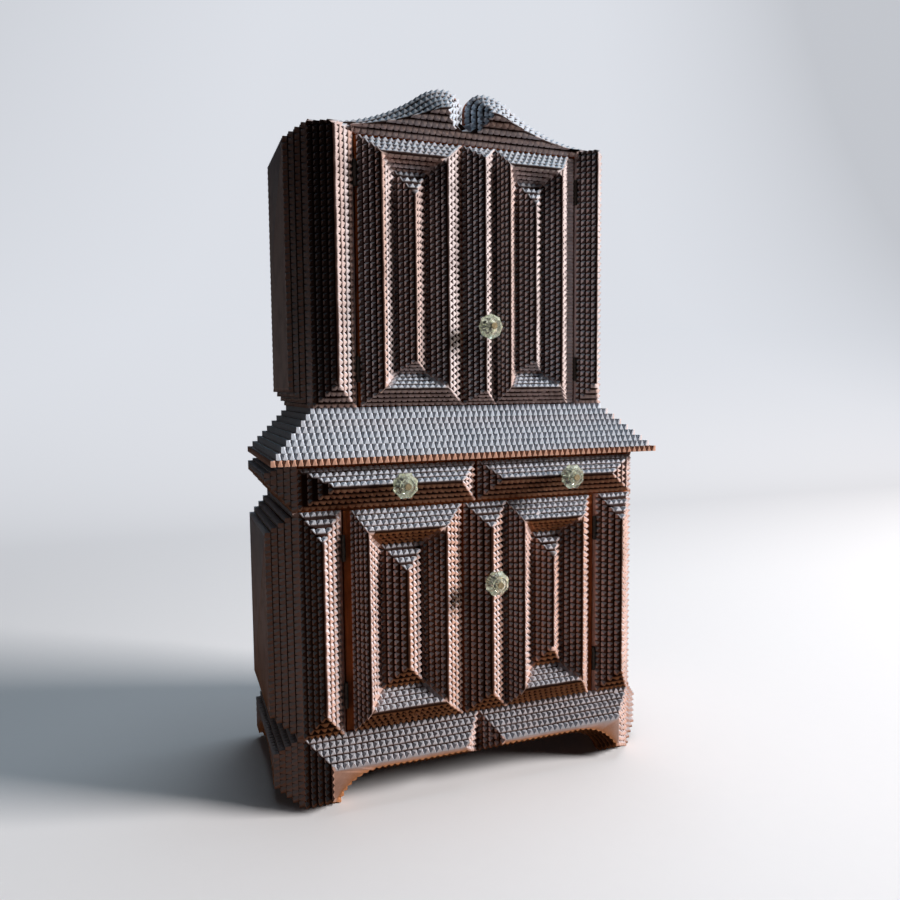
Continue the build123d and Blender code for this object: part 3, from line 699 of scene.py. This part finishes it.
class Strips:
    """Closed strips of one piece, collected before they become one mesh."""

    def __init__(self, seed, sizes):
        self.vertices = []
        self.faces = []
        self.chips = []
        self.leans = []
        self.grain = []
        self.random = random.Random(seed)
        self.sizes = sizes

    def depth(self, ledge, room=1.0):
        """Depth of the notches along an edge: most of its ledge, and no more than its room."""
        return min(self.sizes.notch_depth, ledge * self.sizes.notch_reach, room)

    def add(self, outline, levels, place, along=0, front_dip=1.0):
        """Adds one strip between two levels of a plane, with its grain along one of the plane's axes.

        The front dip says how dark its front is painted between the teeth, as shade of the notches, and 1
        keeps the knife's slope on it.
        """
        start = len(self.vertices)
        count = len(outline)
        tone = self.random.random()
        shift = self.random.random()
        origin = place(0.0, 0.0, 0.0)
        low, high = levels
        for level, behind in ((high, False), (low, True)):
            for front_point, back_point, dip, film, lean in outline:
                u, v = back_point if behind else front_point
                self.vertices.append(place(u, v, level))
                self.chips.append((dip * (BACK_DIP if behind else front_dip), tone, film, 1.0))
                self.leans.append(place(*lean, 0.0) - origin if front_dip == 1.0 else Vector())
                long, wide = (u, v) if along == 0 else (v, u)
                self.grain.append((long + shift, wide + level + shift))
        self.faces.append(tuple(range(start, start + count)))
        self.faces.append(tuple(range(start + 2 * count - 1, start + count - 1, -1)))
        for index in range(count):
            after = (index + 1) % count
            self.faces.append((start + index, start + count + index,
                               start + count + after, start + after))

    def build(self, name):
        """Turns the strips into one object with closed, outward-facing shells."""
        mesh = bpy.data.meshes.new(name)
        mesh.from_pydata([tuple(point) for point in self.vertices], [], self.faces)
        chip = mesh.attributes.new("chip", "FLOAT_COLOR", "POINT")
        chip.data.foreach_set("color", [value for row in self.chips for value in row])
        lean = mesh.attributes.new("lean", "FLOAT_VECTOR", "POINT")
        lean.data.foreach_set("vector", [value for row in self.leans for value in row])
        layer = mesh.uv_layers.new(name="grain")
        for loop in mesh.loops:
            layer.data[loop.index].uv = self.grain[loop.vertex_index]
        work = bmesh.new()
        work.from_mesh(mesh)
        bmesh.ops.recalc_face_normals(work, faces=work.faces)
        bmesh.ops.triangulate(work, faces=[face for face in work.faces if len(face.verts) > 4],
                              ngon_method="EAR_CLIP")
        work.to_mesh(mesh)
        work.free()
        return new_object(name, mesh, "varnished_strips")


def new_strips(node):
    """No strips yet, with random draws that belong to the node."""
    seed = sum(ord(letter) * (index + 3) for index, letter in enumerate(node))
    return Strips(seed, bpy.context.scene.cabinet_sizes)


def dress_strips(strips, node, body, slot="carved_wood"):
    stand_for(strips.build("notched_" + node), body, [node], slot)


# One stretch of an outline: its path, its notch depth, which way it faces for dusting and painted sky
# reflection, how far the next edges lean in over its two ends as shares of that depth, and a function that
# limits the depth at a point
Run = namedtuple("Run", "path depth film slants limit", defaults=(0.0, 0, None, None))


def left_of(first, second):
    """Direction to the left of the way from one point to the next."""
    heading = (second - first).normalized()
    return Vector((-heading.y, heading.x))


def walk_of(path):
    """Length of a path, and a function that gives the point and its left at a distance along it."""
    lengths = [0.0]
    for first, second in zip(path, path[1:]):
        lengths.append(lengths[-1] + (second - first).length)
    total = lengths[-1]

    def spot(distance):
        distance = min(max(distance, 0.0), total)
        index = 1
        while index < len(path) - 1 and lengths[index] < distance:
            index += 1
        span = lengths[index] - lengths[index - 1]
        part = (distance - lengths[index - 1]) / span if span else 0.0
        return path[index - 1].lerp(path[index], part), left_of(path[index - 1], path[index])

    return total, spot


def notch_run(strips, run, depth, margins):
    """Points of one run with V notches cut to its left, from its first point to before its last.

    The margins keep the end notches off the corners.
    """
    sizes = strips.sizes
    pitch = sizes.notch_pitch
    film = run.film
    total, spot = walk_of(run.path)
    leans = [-left_of(first, second) for first, second in zip(run.path, run.path[1:])]
    points = [edge_point(run.path[0], film=film, lean=leans[0])]
    room = total - margins[0] - margins[1]
    if depth < LEAST_NOTCH or room < LEAST_ROOM * pitch:
        points += [edge_point(bend, film=film, lean=lean) for bend, lean in zip(run.path[1:-1], leans[1:])]
        return points
    count = max(1, round(room / pitch) + 1)
    step = room / (count - 1) if count > 1 else 0.0
    half = min(pitch if count == 1 else step, pitch * WIDEST_STEP) * sizes.notch_mouth / 2
    half = min(half, total / 2 - EPS)
    narrow = half * (1.0 - sizes.notch_taper)
    for index in range(count):
        centre = margins[0] + step * index if count > 1 else total / 2
        wander = strips.random.uniform(-1, 1) * sizes.hand_wander * pitch
        if 0 < index < count - 1:
            centre += wander
        middle, inward = spot(centre)
        cut = min(depth, run.limit(middle)) if run.limit else depth
        cut *= 1.0 - DEPTH_SPREAD * strips.random.random()
        if cut < LEAST_NOTCH:
            points.append(edge_point(middle, film=film, lean=-inward))
            continue
        before, after = (edge_point(spot(centre + hand * half)[0], spot(centre + hand * narrow)[0],
                                    film=film, lean=-inward) for hand in (-1, 1))
        floor = edge_point(middle + inward * cut, middle + inward * cut * sizes.knife_slope,
                           1.0, film, -inward)
        points += [before, floor, after]
    return points


def without_repeats(outline):
    """Outline without points that fall on the one before."""
    kept = []
    for row in outline:
        if not kept or (Vector(row[0]) - Vector(kept[-1][0])).length > EPS:
            kept.append(row)
    if (Vector(kept[0][0]) - Vector(kept[-1][0])).length <= EPS:
        kept.pop()
    return kept


def notched_loop(strips, runs):
    """Closed outline from runs that follow one another."""
    half = strips.sizes.notch_pitch * strips.sizes.notch_mouth / 2
    depths = [run.depth if run.depth >= LEAST_NOTCH else 0.0 for run in runs]
    outline = []
    for index, run in enumerate(runs):
        depth = depths[index]
        if run.slants:
            margins = [max(half, depth * slant) + CORNER_GAP for slant in run.slants]
        else:
            beside = (depths[index - 1], depths[(index + 1) % len(runs)])
            margins = [(max(half, depth, other) if other else half) + CORNER_GAP for other in beside]
        outline.extend(notch_run(strips, run, depth, margins))
    return without_repeats(outline)


def notched_polygon(strips, corners, depths, films, slants=(None,) * 4):
    """Outline of a four-sided strip, counter-clockwise, with a notch depth for each edge and which way it
    faces, for dusting and painted sky reflection.
    """
    points = [Vector(corner) for corner in corners]
    edges = zip(points, points[1:] + points[:1], depths, films, slants)
    return notched_loop(strips, [Run([first, second], depth, film, slant)
                                 for first, second, depth, film, slant in edges])


def plain_polygon(corners):
    return [edge_point(corner) for corner in corners]


def add_terrace(strips, stack, side):
    """Adds every strip of one stack with notches along the edges that step in."""
    for index, block in enumerate(stack):
        corners = outside_of(block, side.axes)
        shown = ledges(stack, index, side.axes, outside_of)
        hole = hole_of(block, side.axes)
        if hole:
            hole_shown = ledges(stack, index, side.axes, hole_of)
            add_ring(strips, block, side, (corners, hole), (shown, hole_shown))
            continue
        wide, tall = (block.size[axis] for axis in side.axes)
        depths = [strips.depth(ledge, room * MIDDLE_SHARE)
                  for ledge, room in zip(shown, (tall, wide, tall, wide))]
        outline = notched_polygon(strips, corners, depths, EDGE_FILMS)
        broad = block is stack[-1] and min(wide, tall) > BROAD_FACE
        strips.add(outline, side.levels(block), side.place, 0 if wide > tall else 1,
                   OUTER_DIP if broad else 1.0)


def add_ring(strips, block, side, edges, shown):
    """Adds the four mitred strips of a ring, notched along its outside and along its hole."""
    outer, hole = edges
    widths = steps_between(outer, hole)
    outside, within = ([strips.depth(ledge, width * MIDDLE_SHARE) for ledge, width in zip(each, widths)]
                       for each in shown)
    for limb in range(4):
        after = (limb + 1) % 4
        corners = [outer[limb], outer[after], hole[after], hole[limb]]
        mitres = (widths[limb - 1] / widths[limb], widths[after] / widths[limb])
        film = EDGE_FILMS[limb]
        outline = notched_polygon(strips, corners, (outside[limb], 0.0, within[limb], 0.0),
                                  (film, 0, -film, 0), (mitres, (0, 0), (0, 0), (0, 0)))
        strips.add(outline, side.levels(block), side.place, limb % 2)


def add_ribs(strips, block):
    """Adds a thin upright strip whose face is a row of small ribs."""
    back = block.high.y
    thick = back - block.low.y
    count = round((block.high.z - block.low.z) / strips.sizes.rib_pitch)
    step = (block.high.z - block.low.z) / count
    outline = [(block.low.z, 0.0), (block.high.z, 0.0)]
    for index in range(count, 0, -1):
        top = block.low.z + step * index
        outline += [(top - down * step, thick * out) for down, out in RIB_PROFILE]
    outline.append((block.low.z, thick * RIB_PROFILE[0][1]))
    strips.add(plain_polygon(outline), (block.low.x, block.high.x),
               lambda u, v, level: Vector((level, back - v, u)))


def dress_front(node, body):
    """Notched strips for a node whose layers are stacked towards the front, perhaps on a board."""
    strips = new_strips(node)
    for stack in stacks_of(node, FRONT):
        first = stack[0]
        if first.size.y > BOARD_LEAST:
            outline = plain_polygon(outside_of(first, FRONT.axes))
            strips.add(outline, FRONT.levels(first), FRONT.place, 1)
            stack = stack[1:]
        if stack and stack[0].size.y < RIBBED_MOST:
            add_ribs(strips, stack[0])
            stack = stack[1:]
        if stack:
            add_terrace(strips, stack, FRONT)
    dress_strips(strips, node, body)


def arc(centre, radius, start, end):
    """Points along an arc of a circle, between two angles in degrees."""
    count = max(2, ceil(abs(end - start) / ARC_STEP))
    turn = [radians(start + (end - start) * index / count) for index in range(count + 1)]
    return [Vector((centre[0] + radius * cos(angle), centre[1] + radius * sin(angle))) for angle in turn]


def mirrored(path):
    """Path on the other side of the middle, run backwards to keep its left on the left."""
    return [Vector((-point.x, point.y)) for point in reversed(path)]


def add_base_panel(strips, blocks, side, arch, steps):
    """Adds the layers of one base panel, with notches along its feet, arch and top.

    The arch is the middles of its left and right bends, where None is an end without a foot, and
    the steps are how far each layer stands in from the one behind it at its two ends.
    """
    foot_depth = strips.depth(FOOT_STEP)
    middle_z = ARCH_TOP - ARCH_RADIUS
    for index, block in enumerate(sorted(blocks, key=side.levels)):
        x0, z0, x1, z1 = (end[axis] for end in (block.low, block.high) for axis in side.axes)
        inset = ARCH_STEP * index
        radius = ARCH_RADIUS + inset
        turn = degrees(acos(sqrt(radius ** 2 - (z0 - middle_z) ** 2) / radius))
        left, right = [Vector((x0, ARCH_TOP + inset))], [Vector((x1, ARCH_TOP + inset))]
        left_foot, right_foot = left, right
        left_room = right_room = 1.0
        if arch[0]:
            left = arc((arch[0], middle_z), radius, 180 - turn, 90)
            left_foot = [Vector((x0, z0)), left[0]]
            left_room = (left[0].x - x0) * FOOT_SHARE
        if arch[1]:
            right = arc((arch[1], middle_z), radius, 90, turn)
            right_foot = [right[-1], Vector((x1, z0))]
            right_room = (x1 - right[-1].x) * FOOT_SHARE
        arch_depth = strips.depth(ARCH_STEP, min(left_room, right_room))
        top_left, top_right = Vector((x0, z1)), Vector((x1, z1))
        runs = [Run(left_foot, foot_depth, -1),
                Run(left + right, arch_depth, -1, (ARCH_SLANT, ARCH_SLANT)),
                Run(right_foot, foot_depth, -1),
                Run([right_foot[-1], top_right], strips.depth(steps[1], right_room)),
                Run([top_right, top_left], strips.depth(LAYER), 1),
                Run([top_left, left_foot[0]], strips.depth(steps[0], left_room))]
        outline = notched_loop(strips, [run for run in runs if len(run.path) > 1])
        strips.add(outline, side.levels(block), side.place,
                   front_dip=OUTER_DIP if index == len(blocks) - 1 else 1.0)


def crest_runs(strips, block, index, inner):
    """Outlines of one crest layer, each a list of runs, counter-clockwise from its foot line.

    Inner is how far the pilasters' strips, which the layer stands between, are from the middle.
    """
    inset = CREST_STEP * index
    depth = strips.depth(CREST_STEP)
    crown = CREST_CROWN - inset
    sweep = CREST_SWEEP + inset
    lobe = CREST_LOBE - inset
    crown_z = CREST_TOP - CREST_CROWN
    sweep_z = crown_z + (CREST_CROWN + CREST_SWEEP) * cos(CREST_LEAN)
    foot = block.low.z
    lowest = max(foot, CREST_SHOULDER)
    end_x = CREST_HALF - inset
    if sweep_z - lowest < sweep:
        end_x = min(end_x, CREST_SWEEP_X - sqrt(sweep ** 2 - (sweep_z - lowest) ** 2))
    end_turn = degrees(acos((end_x - CREST_SWEEP_X) / sweep))
    lean = degrees(CREST_LEAN)
    near = CREST_LOBE_X - max(lobe, 0.0)
    web = max(CREST_WEB - inset, foot)
    path = arc((CREST_SWEEP_X, sweep_z), sweep, -end_turn, -90 - lean)
    path += arc((CREST_LOBE_X, crown_z), crown, 90 - lean, 90)[1:]
    if lobe > 0:
        path += arc((CREST_LOBE_X, CREST_TOP - CREST_LOBE), lobe, 90, 180)[1:]
    path.append(Vector((near, web)))

    def thickness(point):
        """Nearly half of the layer's height at a point of its edge."""
        x = min(max(abs(point.x), CREST_LOBE_X), end_x)
        if x < CREST_LOBE_X + crown * sin(CREST_LEAN):
            height = crown_z + sqrt(crown ** 2 - (x - CREST_LOBE_X) ** 2)
        else:
            height = sweep_z - sqrt(sweep ** 2 - (x - CREST_SWEEP_X) ** 2)
        under = foot if -inner[0] <= point.x <= inner[1] else lowest
        return (height - under) * MIDDLE_SHARE

    def plain(line):
        """Runs without notches from each point of a line to the next."""
        return [Run([first, second]) for first, second in zip(line, line[1:])
                if (second - first).length > EPS]

    def flipped(run):
        return run._replace(path=mirrored(run.path), slants=run.slants and run.slants[::-1])

    def shoulder(inner_x):
        """From the foot line up beside a pilaster and out to the end."""
        if foot < CREST_SHOULDER:
            return [Vector((inner_x, foot)), Vector((inner_x, lowest)), Vector((end_x, lowest))]
        return [Vector((end_x, lowest))]

    right = Run(path, depth, 1, (CREST_SLANT, 0.0), thickness)
    left = flipped(right)
    if web > foot:
        left_shoulder, right_shoulder = mirrored(shoulder(inner[0])), shoulder(inner[1])
        foot_line = [left_shoulder[-1], right_shoulder[0]]
        valley = [path[-1], left.path[0]]
        return [[Run(foot_line, depth, -1, (CREST_SLANT, CREST_SLANT), thickness),
                 *plain(right_shoulder + path[:1]), right,
                 Run(valley, min(depth, (web - foot) * WEB_SHARE), 1, (1.0, 1.0)), left,
                 *plain(left.path[-1:] + left_shoulder)]]
    foot_line = [Vector((near, foot)), Vector((end_x, foot))]
    half = [Run(foot_line, depth, -1, (1.0, CREST_SLANT), thickness), *plain([foot_line[1], path[0]]), right]
    return [half, [flipped(run) for run in reversed(half)]]


class CABINET_OT_base(bpy.types.Operator):
    """Cut the notched strips of the base and its bracket feet"""

    bl_idname = "cabinet.base"
    bl_label = "Base"

    def execute(self, context):
        strips = new_strips("base_front_layers")
        whole = blocks_of("base_front_layers")
        for hand, arch, steps in ((-1, (-FRONT_ARCH, None), (OUTER_STEP, SEAM_STEP)),
                                  (1, (None, FRONT_ARCH), (SEAM_STEP, OUTER_STEP))):
            blocks = [block for block in whole if hand * (block.low.x + block.high.x) > 0]
            add_base_panel(strips, blocks, FRONT, arch, steps)
        dress_strips(strips, "base_front_layers", "case")
        for name, side in (("base_left_layers", LEFT), ("base_right_layers", RIGHT)):
            strips = new_strips(name)
            add_base_panel(strips, blocks_of(name), side, SIDE_ARCH, SIDE_STEPS)
            dress_strips(strips, name, "case")
        return {"FINISHED"}


class CABINET_OT_sides(bpy.types.Operator):
    """Cut the notched strips on the sides and the pilasters beside the doors"""

    bl_idname = "cabinet.sides"
    bl_label = "Sides and pilasters"

    def execute(self, context):
        for quarter in QUARTERS:
            node = quarter + "_side_layers"
            side = LEFT if "left" in quarter else RIGHT
            strips = new_strips(node)
            for stack in stacks_of(node, side):
                add_terrace(strips, stack, side)
            dress_strips(strips, node, "case")
        for quarter in QUARTERS:
            dress_front(quarter + "_pilaster", "case")
        return {"FINISHED"}


class CABINET_OT_shelf(bpy.types.Operator):
    """Cut the stepped shelf of notched boards and mitred frames"""

    bl_idname = "cabinet.shelf"
    bl_label = "Shelf"

    def execute(self, context):
        for node, add_layer, slot in (("shelf_boards", self.add_board, "case_wood"),
                                      ("shelf_edge_layers", self.add_frame, "carved_wood")):
            strips = new_strips(node)
            for blocks in layers_of(node, TOP).values():
                low = [min(block.low[axis] for block in blocks) for axis in (0, 1)]
                high = [max(block.high[axis] for block in blocks) for axis in (0, 1)]
                film = -1 if blocks[0].low.z < SHELF_FOOT + EPS else 1
                add_layer(strips, (*low, *high), TOP.levels(blocks[0]), film)
            dress_strips(strips, node, "case", slot)
        return {"FINISHED"}

    def add_board(self, strips, edges, levels, film):
        """Adds a board notched along its front and sides."""
        depth = strips.sizes.notch_depth
        outline = notched_polygon(strips, rectangle(*edges), (depth, depth, 0.0, depth),
                                  (film, film, 0, film))
        strips.add(outline, levels, TOP.place)

    def add_frame(self, strips, edges, levels, film):
        """Adds a frame of three notched strips, mitred at the front, with a plain strip at the back."""
        x0, y0, x1, y1 = edges
        w = SHELF_STRIP
        outer = rectangle(*edges)
        inner = rectangle(x0 + w, y0 + w, x1 - w, y1)
        for limb, mitres in ((0, (1, 1)), (1, (1, 0)), (3, (0, 1))):
            after = (limb + 1) % 4
            corners = [outer[limb], outer[after], inner[after], inner[limb]]
            outline = notched_polygon(strips, corners, (strips.sizes.notch_depth, 0.0, 0.0, 0.0),
                                      (film, 0, 0, 0), (mitres, (0, 0), (0, 0), (0, 0)))
            strips.add(outline, levels, TOP.place, limb % 2)
        strips.add(plain_polygon(rectangle(x0 + w, y1 - w, x1 - w, y1)), levels, TOP.place)


class CABINET_OT_crest(bpy.types.Operator):
    """Cut the notched layers of the scrolled crest"""

    bl_idname = "cabinet.crest"
    bl_label = "Crest"

    def execute(self, context):
        strips = new_strips("crest_layers")
        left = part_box("upper_left_pilaster")
        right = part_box("upper_right_pilaster")
        inner = abs(left[1][0]) + PILASTER_SETBACK, abs(right[0][0]) + PILASTER_SETBACK
        layers = layers_of("crest_layers", FRONT)
        for index, level in enumerate(sorted(layers)):
            block = layers[level][0]
            for runs in crest_runs(strips, block, index, inner):
                strips.add(notched_loop(strips, runs), FRONT.levels(block), FRONT.place)
        dress_strips(strips, "crest_layers", "case")
        return {"FINISHED"}


class CABINET_OT_doors(bpy.types.Operator):
    """Cut the notched frames, panels and centre strips of the doors and drawer fronts"""

    bl_idname = "cabinet.doors"
    bl_label = "Doors and drawers"

    def execute(self, context):
        for quarter in QUARTERS:
            door = quarter + "_door"
            dress_front(door + "_carving", door)
            if "right" in door:
                dress_front(door + "_astragal", door)
        for drawer in DRAWERS:
            dress_front(drawer + "_front_layers", drawer)
        return {"FINISHED"}


class CABINET_OT_knobs(bpy.types.Operator):
    """Press the glass knobs"""

    bl_idname = "cabinet.knobs"
    bl_label = "Knobs"

    def execute(self, context):
        for body, head in (("lower_right_door", FLOWER_HEAD), ("upper_right_door", CUT_HEAD),
                           ("left_drawer", FLOWER_HEAD), ("right_drawer", FLOWER_HEAD)):
            self.add_knob(body + "_knob", body, head)
        return {"FINISHED"}

    def add_knob(self, node, body, head):
        """Pressed glass knob with a hole through it for its bolt."""
        low, high = (Vector(corner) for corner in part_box(node))
        centre = (low + high) / 2
        sides = bpy.context.scene.cabinet_sizes.knob_sides
        segments = sides * SEGMENTS_A_SIDE
        work = bmesh.new()
        rings = []
        for out, radius, flat in KNOB_STEM + head + KNOB_BORE:
            ring = []
            for index in range(segments):
                angle = 2 * pi * index / segments
                local = (angle % (2 * pi / sides)) - pi / sides
                if head is FLOWER_HEAD:
                    shape = 1.0 - PETAL_DEPTH * flat * abs(sin(local * sides / 2)) ** PETAL_ROUNDING
                else:
                    shape = 1.0 + flat * (cos(pi / sides) / cos(local) - 1.0)
                spot = Vector((cos(angle), 0, sin(angle))) * radius * shape * MM
                ring.append(work.verts.new((centre.x + spot.x, high.y - out * MM, centre.z + spot.z)))
            rings.append(ring)
        for first, second in zip(rings, rings[1:] + rings[:1]):
            for index in range(segments):
                after = (index + 1) % segments
                work.faces.new((first[index], first[after], second[after], second[index]))
        bmesh.ops.recalc_face_normals(work, faces=work.faces)
        mesh = bpy.data.meshes.new("glass_" + node)
        work.to_mesh(mesh)
        work.free()
        stand_for(new_object("glass_" + node, mesh, "pressed_glass"), body, [node], "knob_glass")


class CABINET_OT_boards(bpy.types.Operator):
    """Finish the plain boards, drawer boxes and metal parts that keep their CAD shape"""

    bl_idname = "cabinet.boards"
    bl_label = "Boards and metal"

    def execute(self, context):
        replaced = ("_layers", "_carving", "_astragal", "_pilaster", "_knob", "shelf_boards")
        for name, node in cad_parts.items():
            if not name.endswith(replaced):
                node.data.materials.clear()
                node.data.materials.append(finish_of(self.finish_name(name)))
        return {"FINISHED"}

    def finish_name(self, name):
        """Finish of a node: a board's grain runs up a side or a door, or else along its length."""
        if name.endswith("_bolt"):
            return "brass"
        if "hinge" in name:
            return "iron"
        if name.endswith("_box"):
            return "bare_board"
        if name.endswith("_side") or "door_board" in name:
            return "board_upright"
        low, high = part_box(name)
        size = [high[axis] - low[axis] for axis in range(3)]
        return BOARDS[size.index(max(size))]


def studio_floor():
    """Paper sweep: a floor that curves up into a backdrop well behind the object."""
    bend = [(SWEEP_BACK + SWEEP_BEND * sin(radians(turn)), SWEEP_BEND - SWEEP_BEND * cos(radians(turn)))
            for turn in range(6, 91, 6)]
    profile = [(SWEEP_FRONT, 0.0), (SWEEP_BACK, 0.0), *bend, (SWEEP_BACK + SWEEP_BEND, SWEEP_TOP)]
    vertices = [(hand * SWEEP_HALF, y, z) for y, z in profile for hand in (-1, 1)]
    faces = [(2 * index, 2 * index + 1, 2 * index + 3, 2 * index + 2) for index in range(len(profile) - 1)]
    mesh = bpy.data.meshes.new("paper_sweep")
    mesh.from_pydata(vertices, [], faces)
    for face in mesh.polygons:
        face.use_smooth = True
    sweep = new_object("paper_sweep", mesh, "studio_paper")


def studio_world(finish):
    """Dim surroundings that look pale to the camera and in glass and varnish."""
    world = bpy.data.worlds.new("studio")
    bpy.context.scene.world = world
    shader = Shader(world)
    thrown = shader.node("ShaderNodeBackground", Color=opaque(finish.world_dim), Strength=ROOM_THROWN)
    seen = shader.node("ShaderNodeBackground", Color=opaque(finish.world_pale), Strength=ROOM_SEEN)
    mixed = shader.node("ShaderNodeMixShader", Fac=seen_directly(shader), i1=thrown, i2=seen)
    shader.node("ShaderNodeOutputWorld", Surface=mixed)


def soft_lamp(name, place, target, size, power, color, spread=180.0):
    """Square lamp aimed at a point, which the camera doesn't see."""
    data = bpy.data.lights.new(name, "AREA")
    data.size = size
    data.energy = power
    data.color = color
    data.spread = radians(spread)
    lamp = new_object(name, data)
    lamp.location = place
    lamp.rotation_euler = (Vector(target) - Vector(place)).to_track_quat("-Z", "Y").to_euler()
    lamp.visible_camera = False


def place_camera():
    """Camera at the photograph's viewpoint."""
    data = bpy.data.cameras.new("camera")
    data.sensor_width = CAMERA_SENSOR
    data.lens = CAMERA_LENS
    camera = new_object("camera", data)
    turn = Euler((radians(90 - CAMERA_DOWN), 0, radians(CAMERA_TURN))).to_matrix().to_4x4()
    roll = Matrix.Rotation(radians(CAMERA_ROLL), 4, "Z")
    camera.matrix_world = Matrix.Translation(CAMERA_PLACE) @ turn @ roll
    bpy.context.scene.camera = camera


class CABINET_OT_studio(bpy.types.Operator):
    """Set the floor, backdrop, lights and camera"""

    bl_idname = "cabinet.studio"
    bl_label = "Studio"

    def execute(self, context):
        context.scene.view_settings.view_transform = "Standard"
        studio_floor()
        studio_world(context.scene.cabinet_finish)
        soft_lamp("key", (4.20, -2.15, 2.20), MIDDLE, size=1.5, power=450.0, color=(1.0, 0.95, 0.92))
        soft_lamp("sky", (0.45, 0.4, 2.9), MIDDLE, size=1.6, power=32.0, color=(0.76, 0.90, 1.0))
        soft_lamp("fill", (-1.30, -1.30, 0.20), LEFT_FOOT, size=0.2, power=0.06, color=(1.0, 0.90, 0.84),
                  spread=34.0)
        place_camera()
        return {"FINISHED"}


class CABINET_PT_panel(bpy.types.Panel):
    """Sidebar panel with every size, finish and step of the cabinet"""

    bl_idname = "CABINET_PT_panel"
    bl_label = "Notched cabinet"
    bl_space_type = "VIEW_3D"
    bl_region_type = "UI"
    bl_category = "Cabinet"

    def draw(self, context):
        layout = self.layout
        for group in (context.scene.cabinet_sizes, context.scene.cabinet_finish):
            column = layout.column()
            for name in group.bl_rna.properties.keys():
                if name not in ("rna_type", "name"):
                    column.prop(group, name)
        for operator in STEPS:
            layout.operator(operator.bl_idname)


STEPS = (CABINET_OT_base, CABINET_OT_sides, CABINET_OT_shelf, CABINET_OT_crest, CABINET_OT_doors,
         CABINET_OT_knobs, CABINET_OT_boards, CABINET_OT_studio)
CLASSES = (CabinetSizes, CabinetFinish, *STEPS, CABINET_PT_panel)


def register():
    for item in CLASSES:
        bpy.utils.register_class(item)
    bpy.types.Scene.cabinet_sizes = PointerProperty(type=CabinetSizes)
    bpy.types.Scene.cabinet_finish = PointerProperty(type=CabinetFinish)


def unregister():
    del bpy.types.Scene.cabinet_finish
    del bpy.types.Scene.cabinet_sizes
    for item in reversed(CLASSES):
        bpy.utils.unregister_class(item)


def main():
    register()
    bpy.ops.cabinet.base()
    bpy.ops.cabinet.sides()
    bpy.ops.cabinet.shelf()
    bpy.ops.cabinet.crest()
    bpy.ops.cabinet.doors()
    bpy.ops.cabinet.knobs()
    bpy.ops.cabinet.boards()
    bpy.ops.cabinet.studio()


if __name__ == "__main__":
    main()
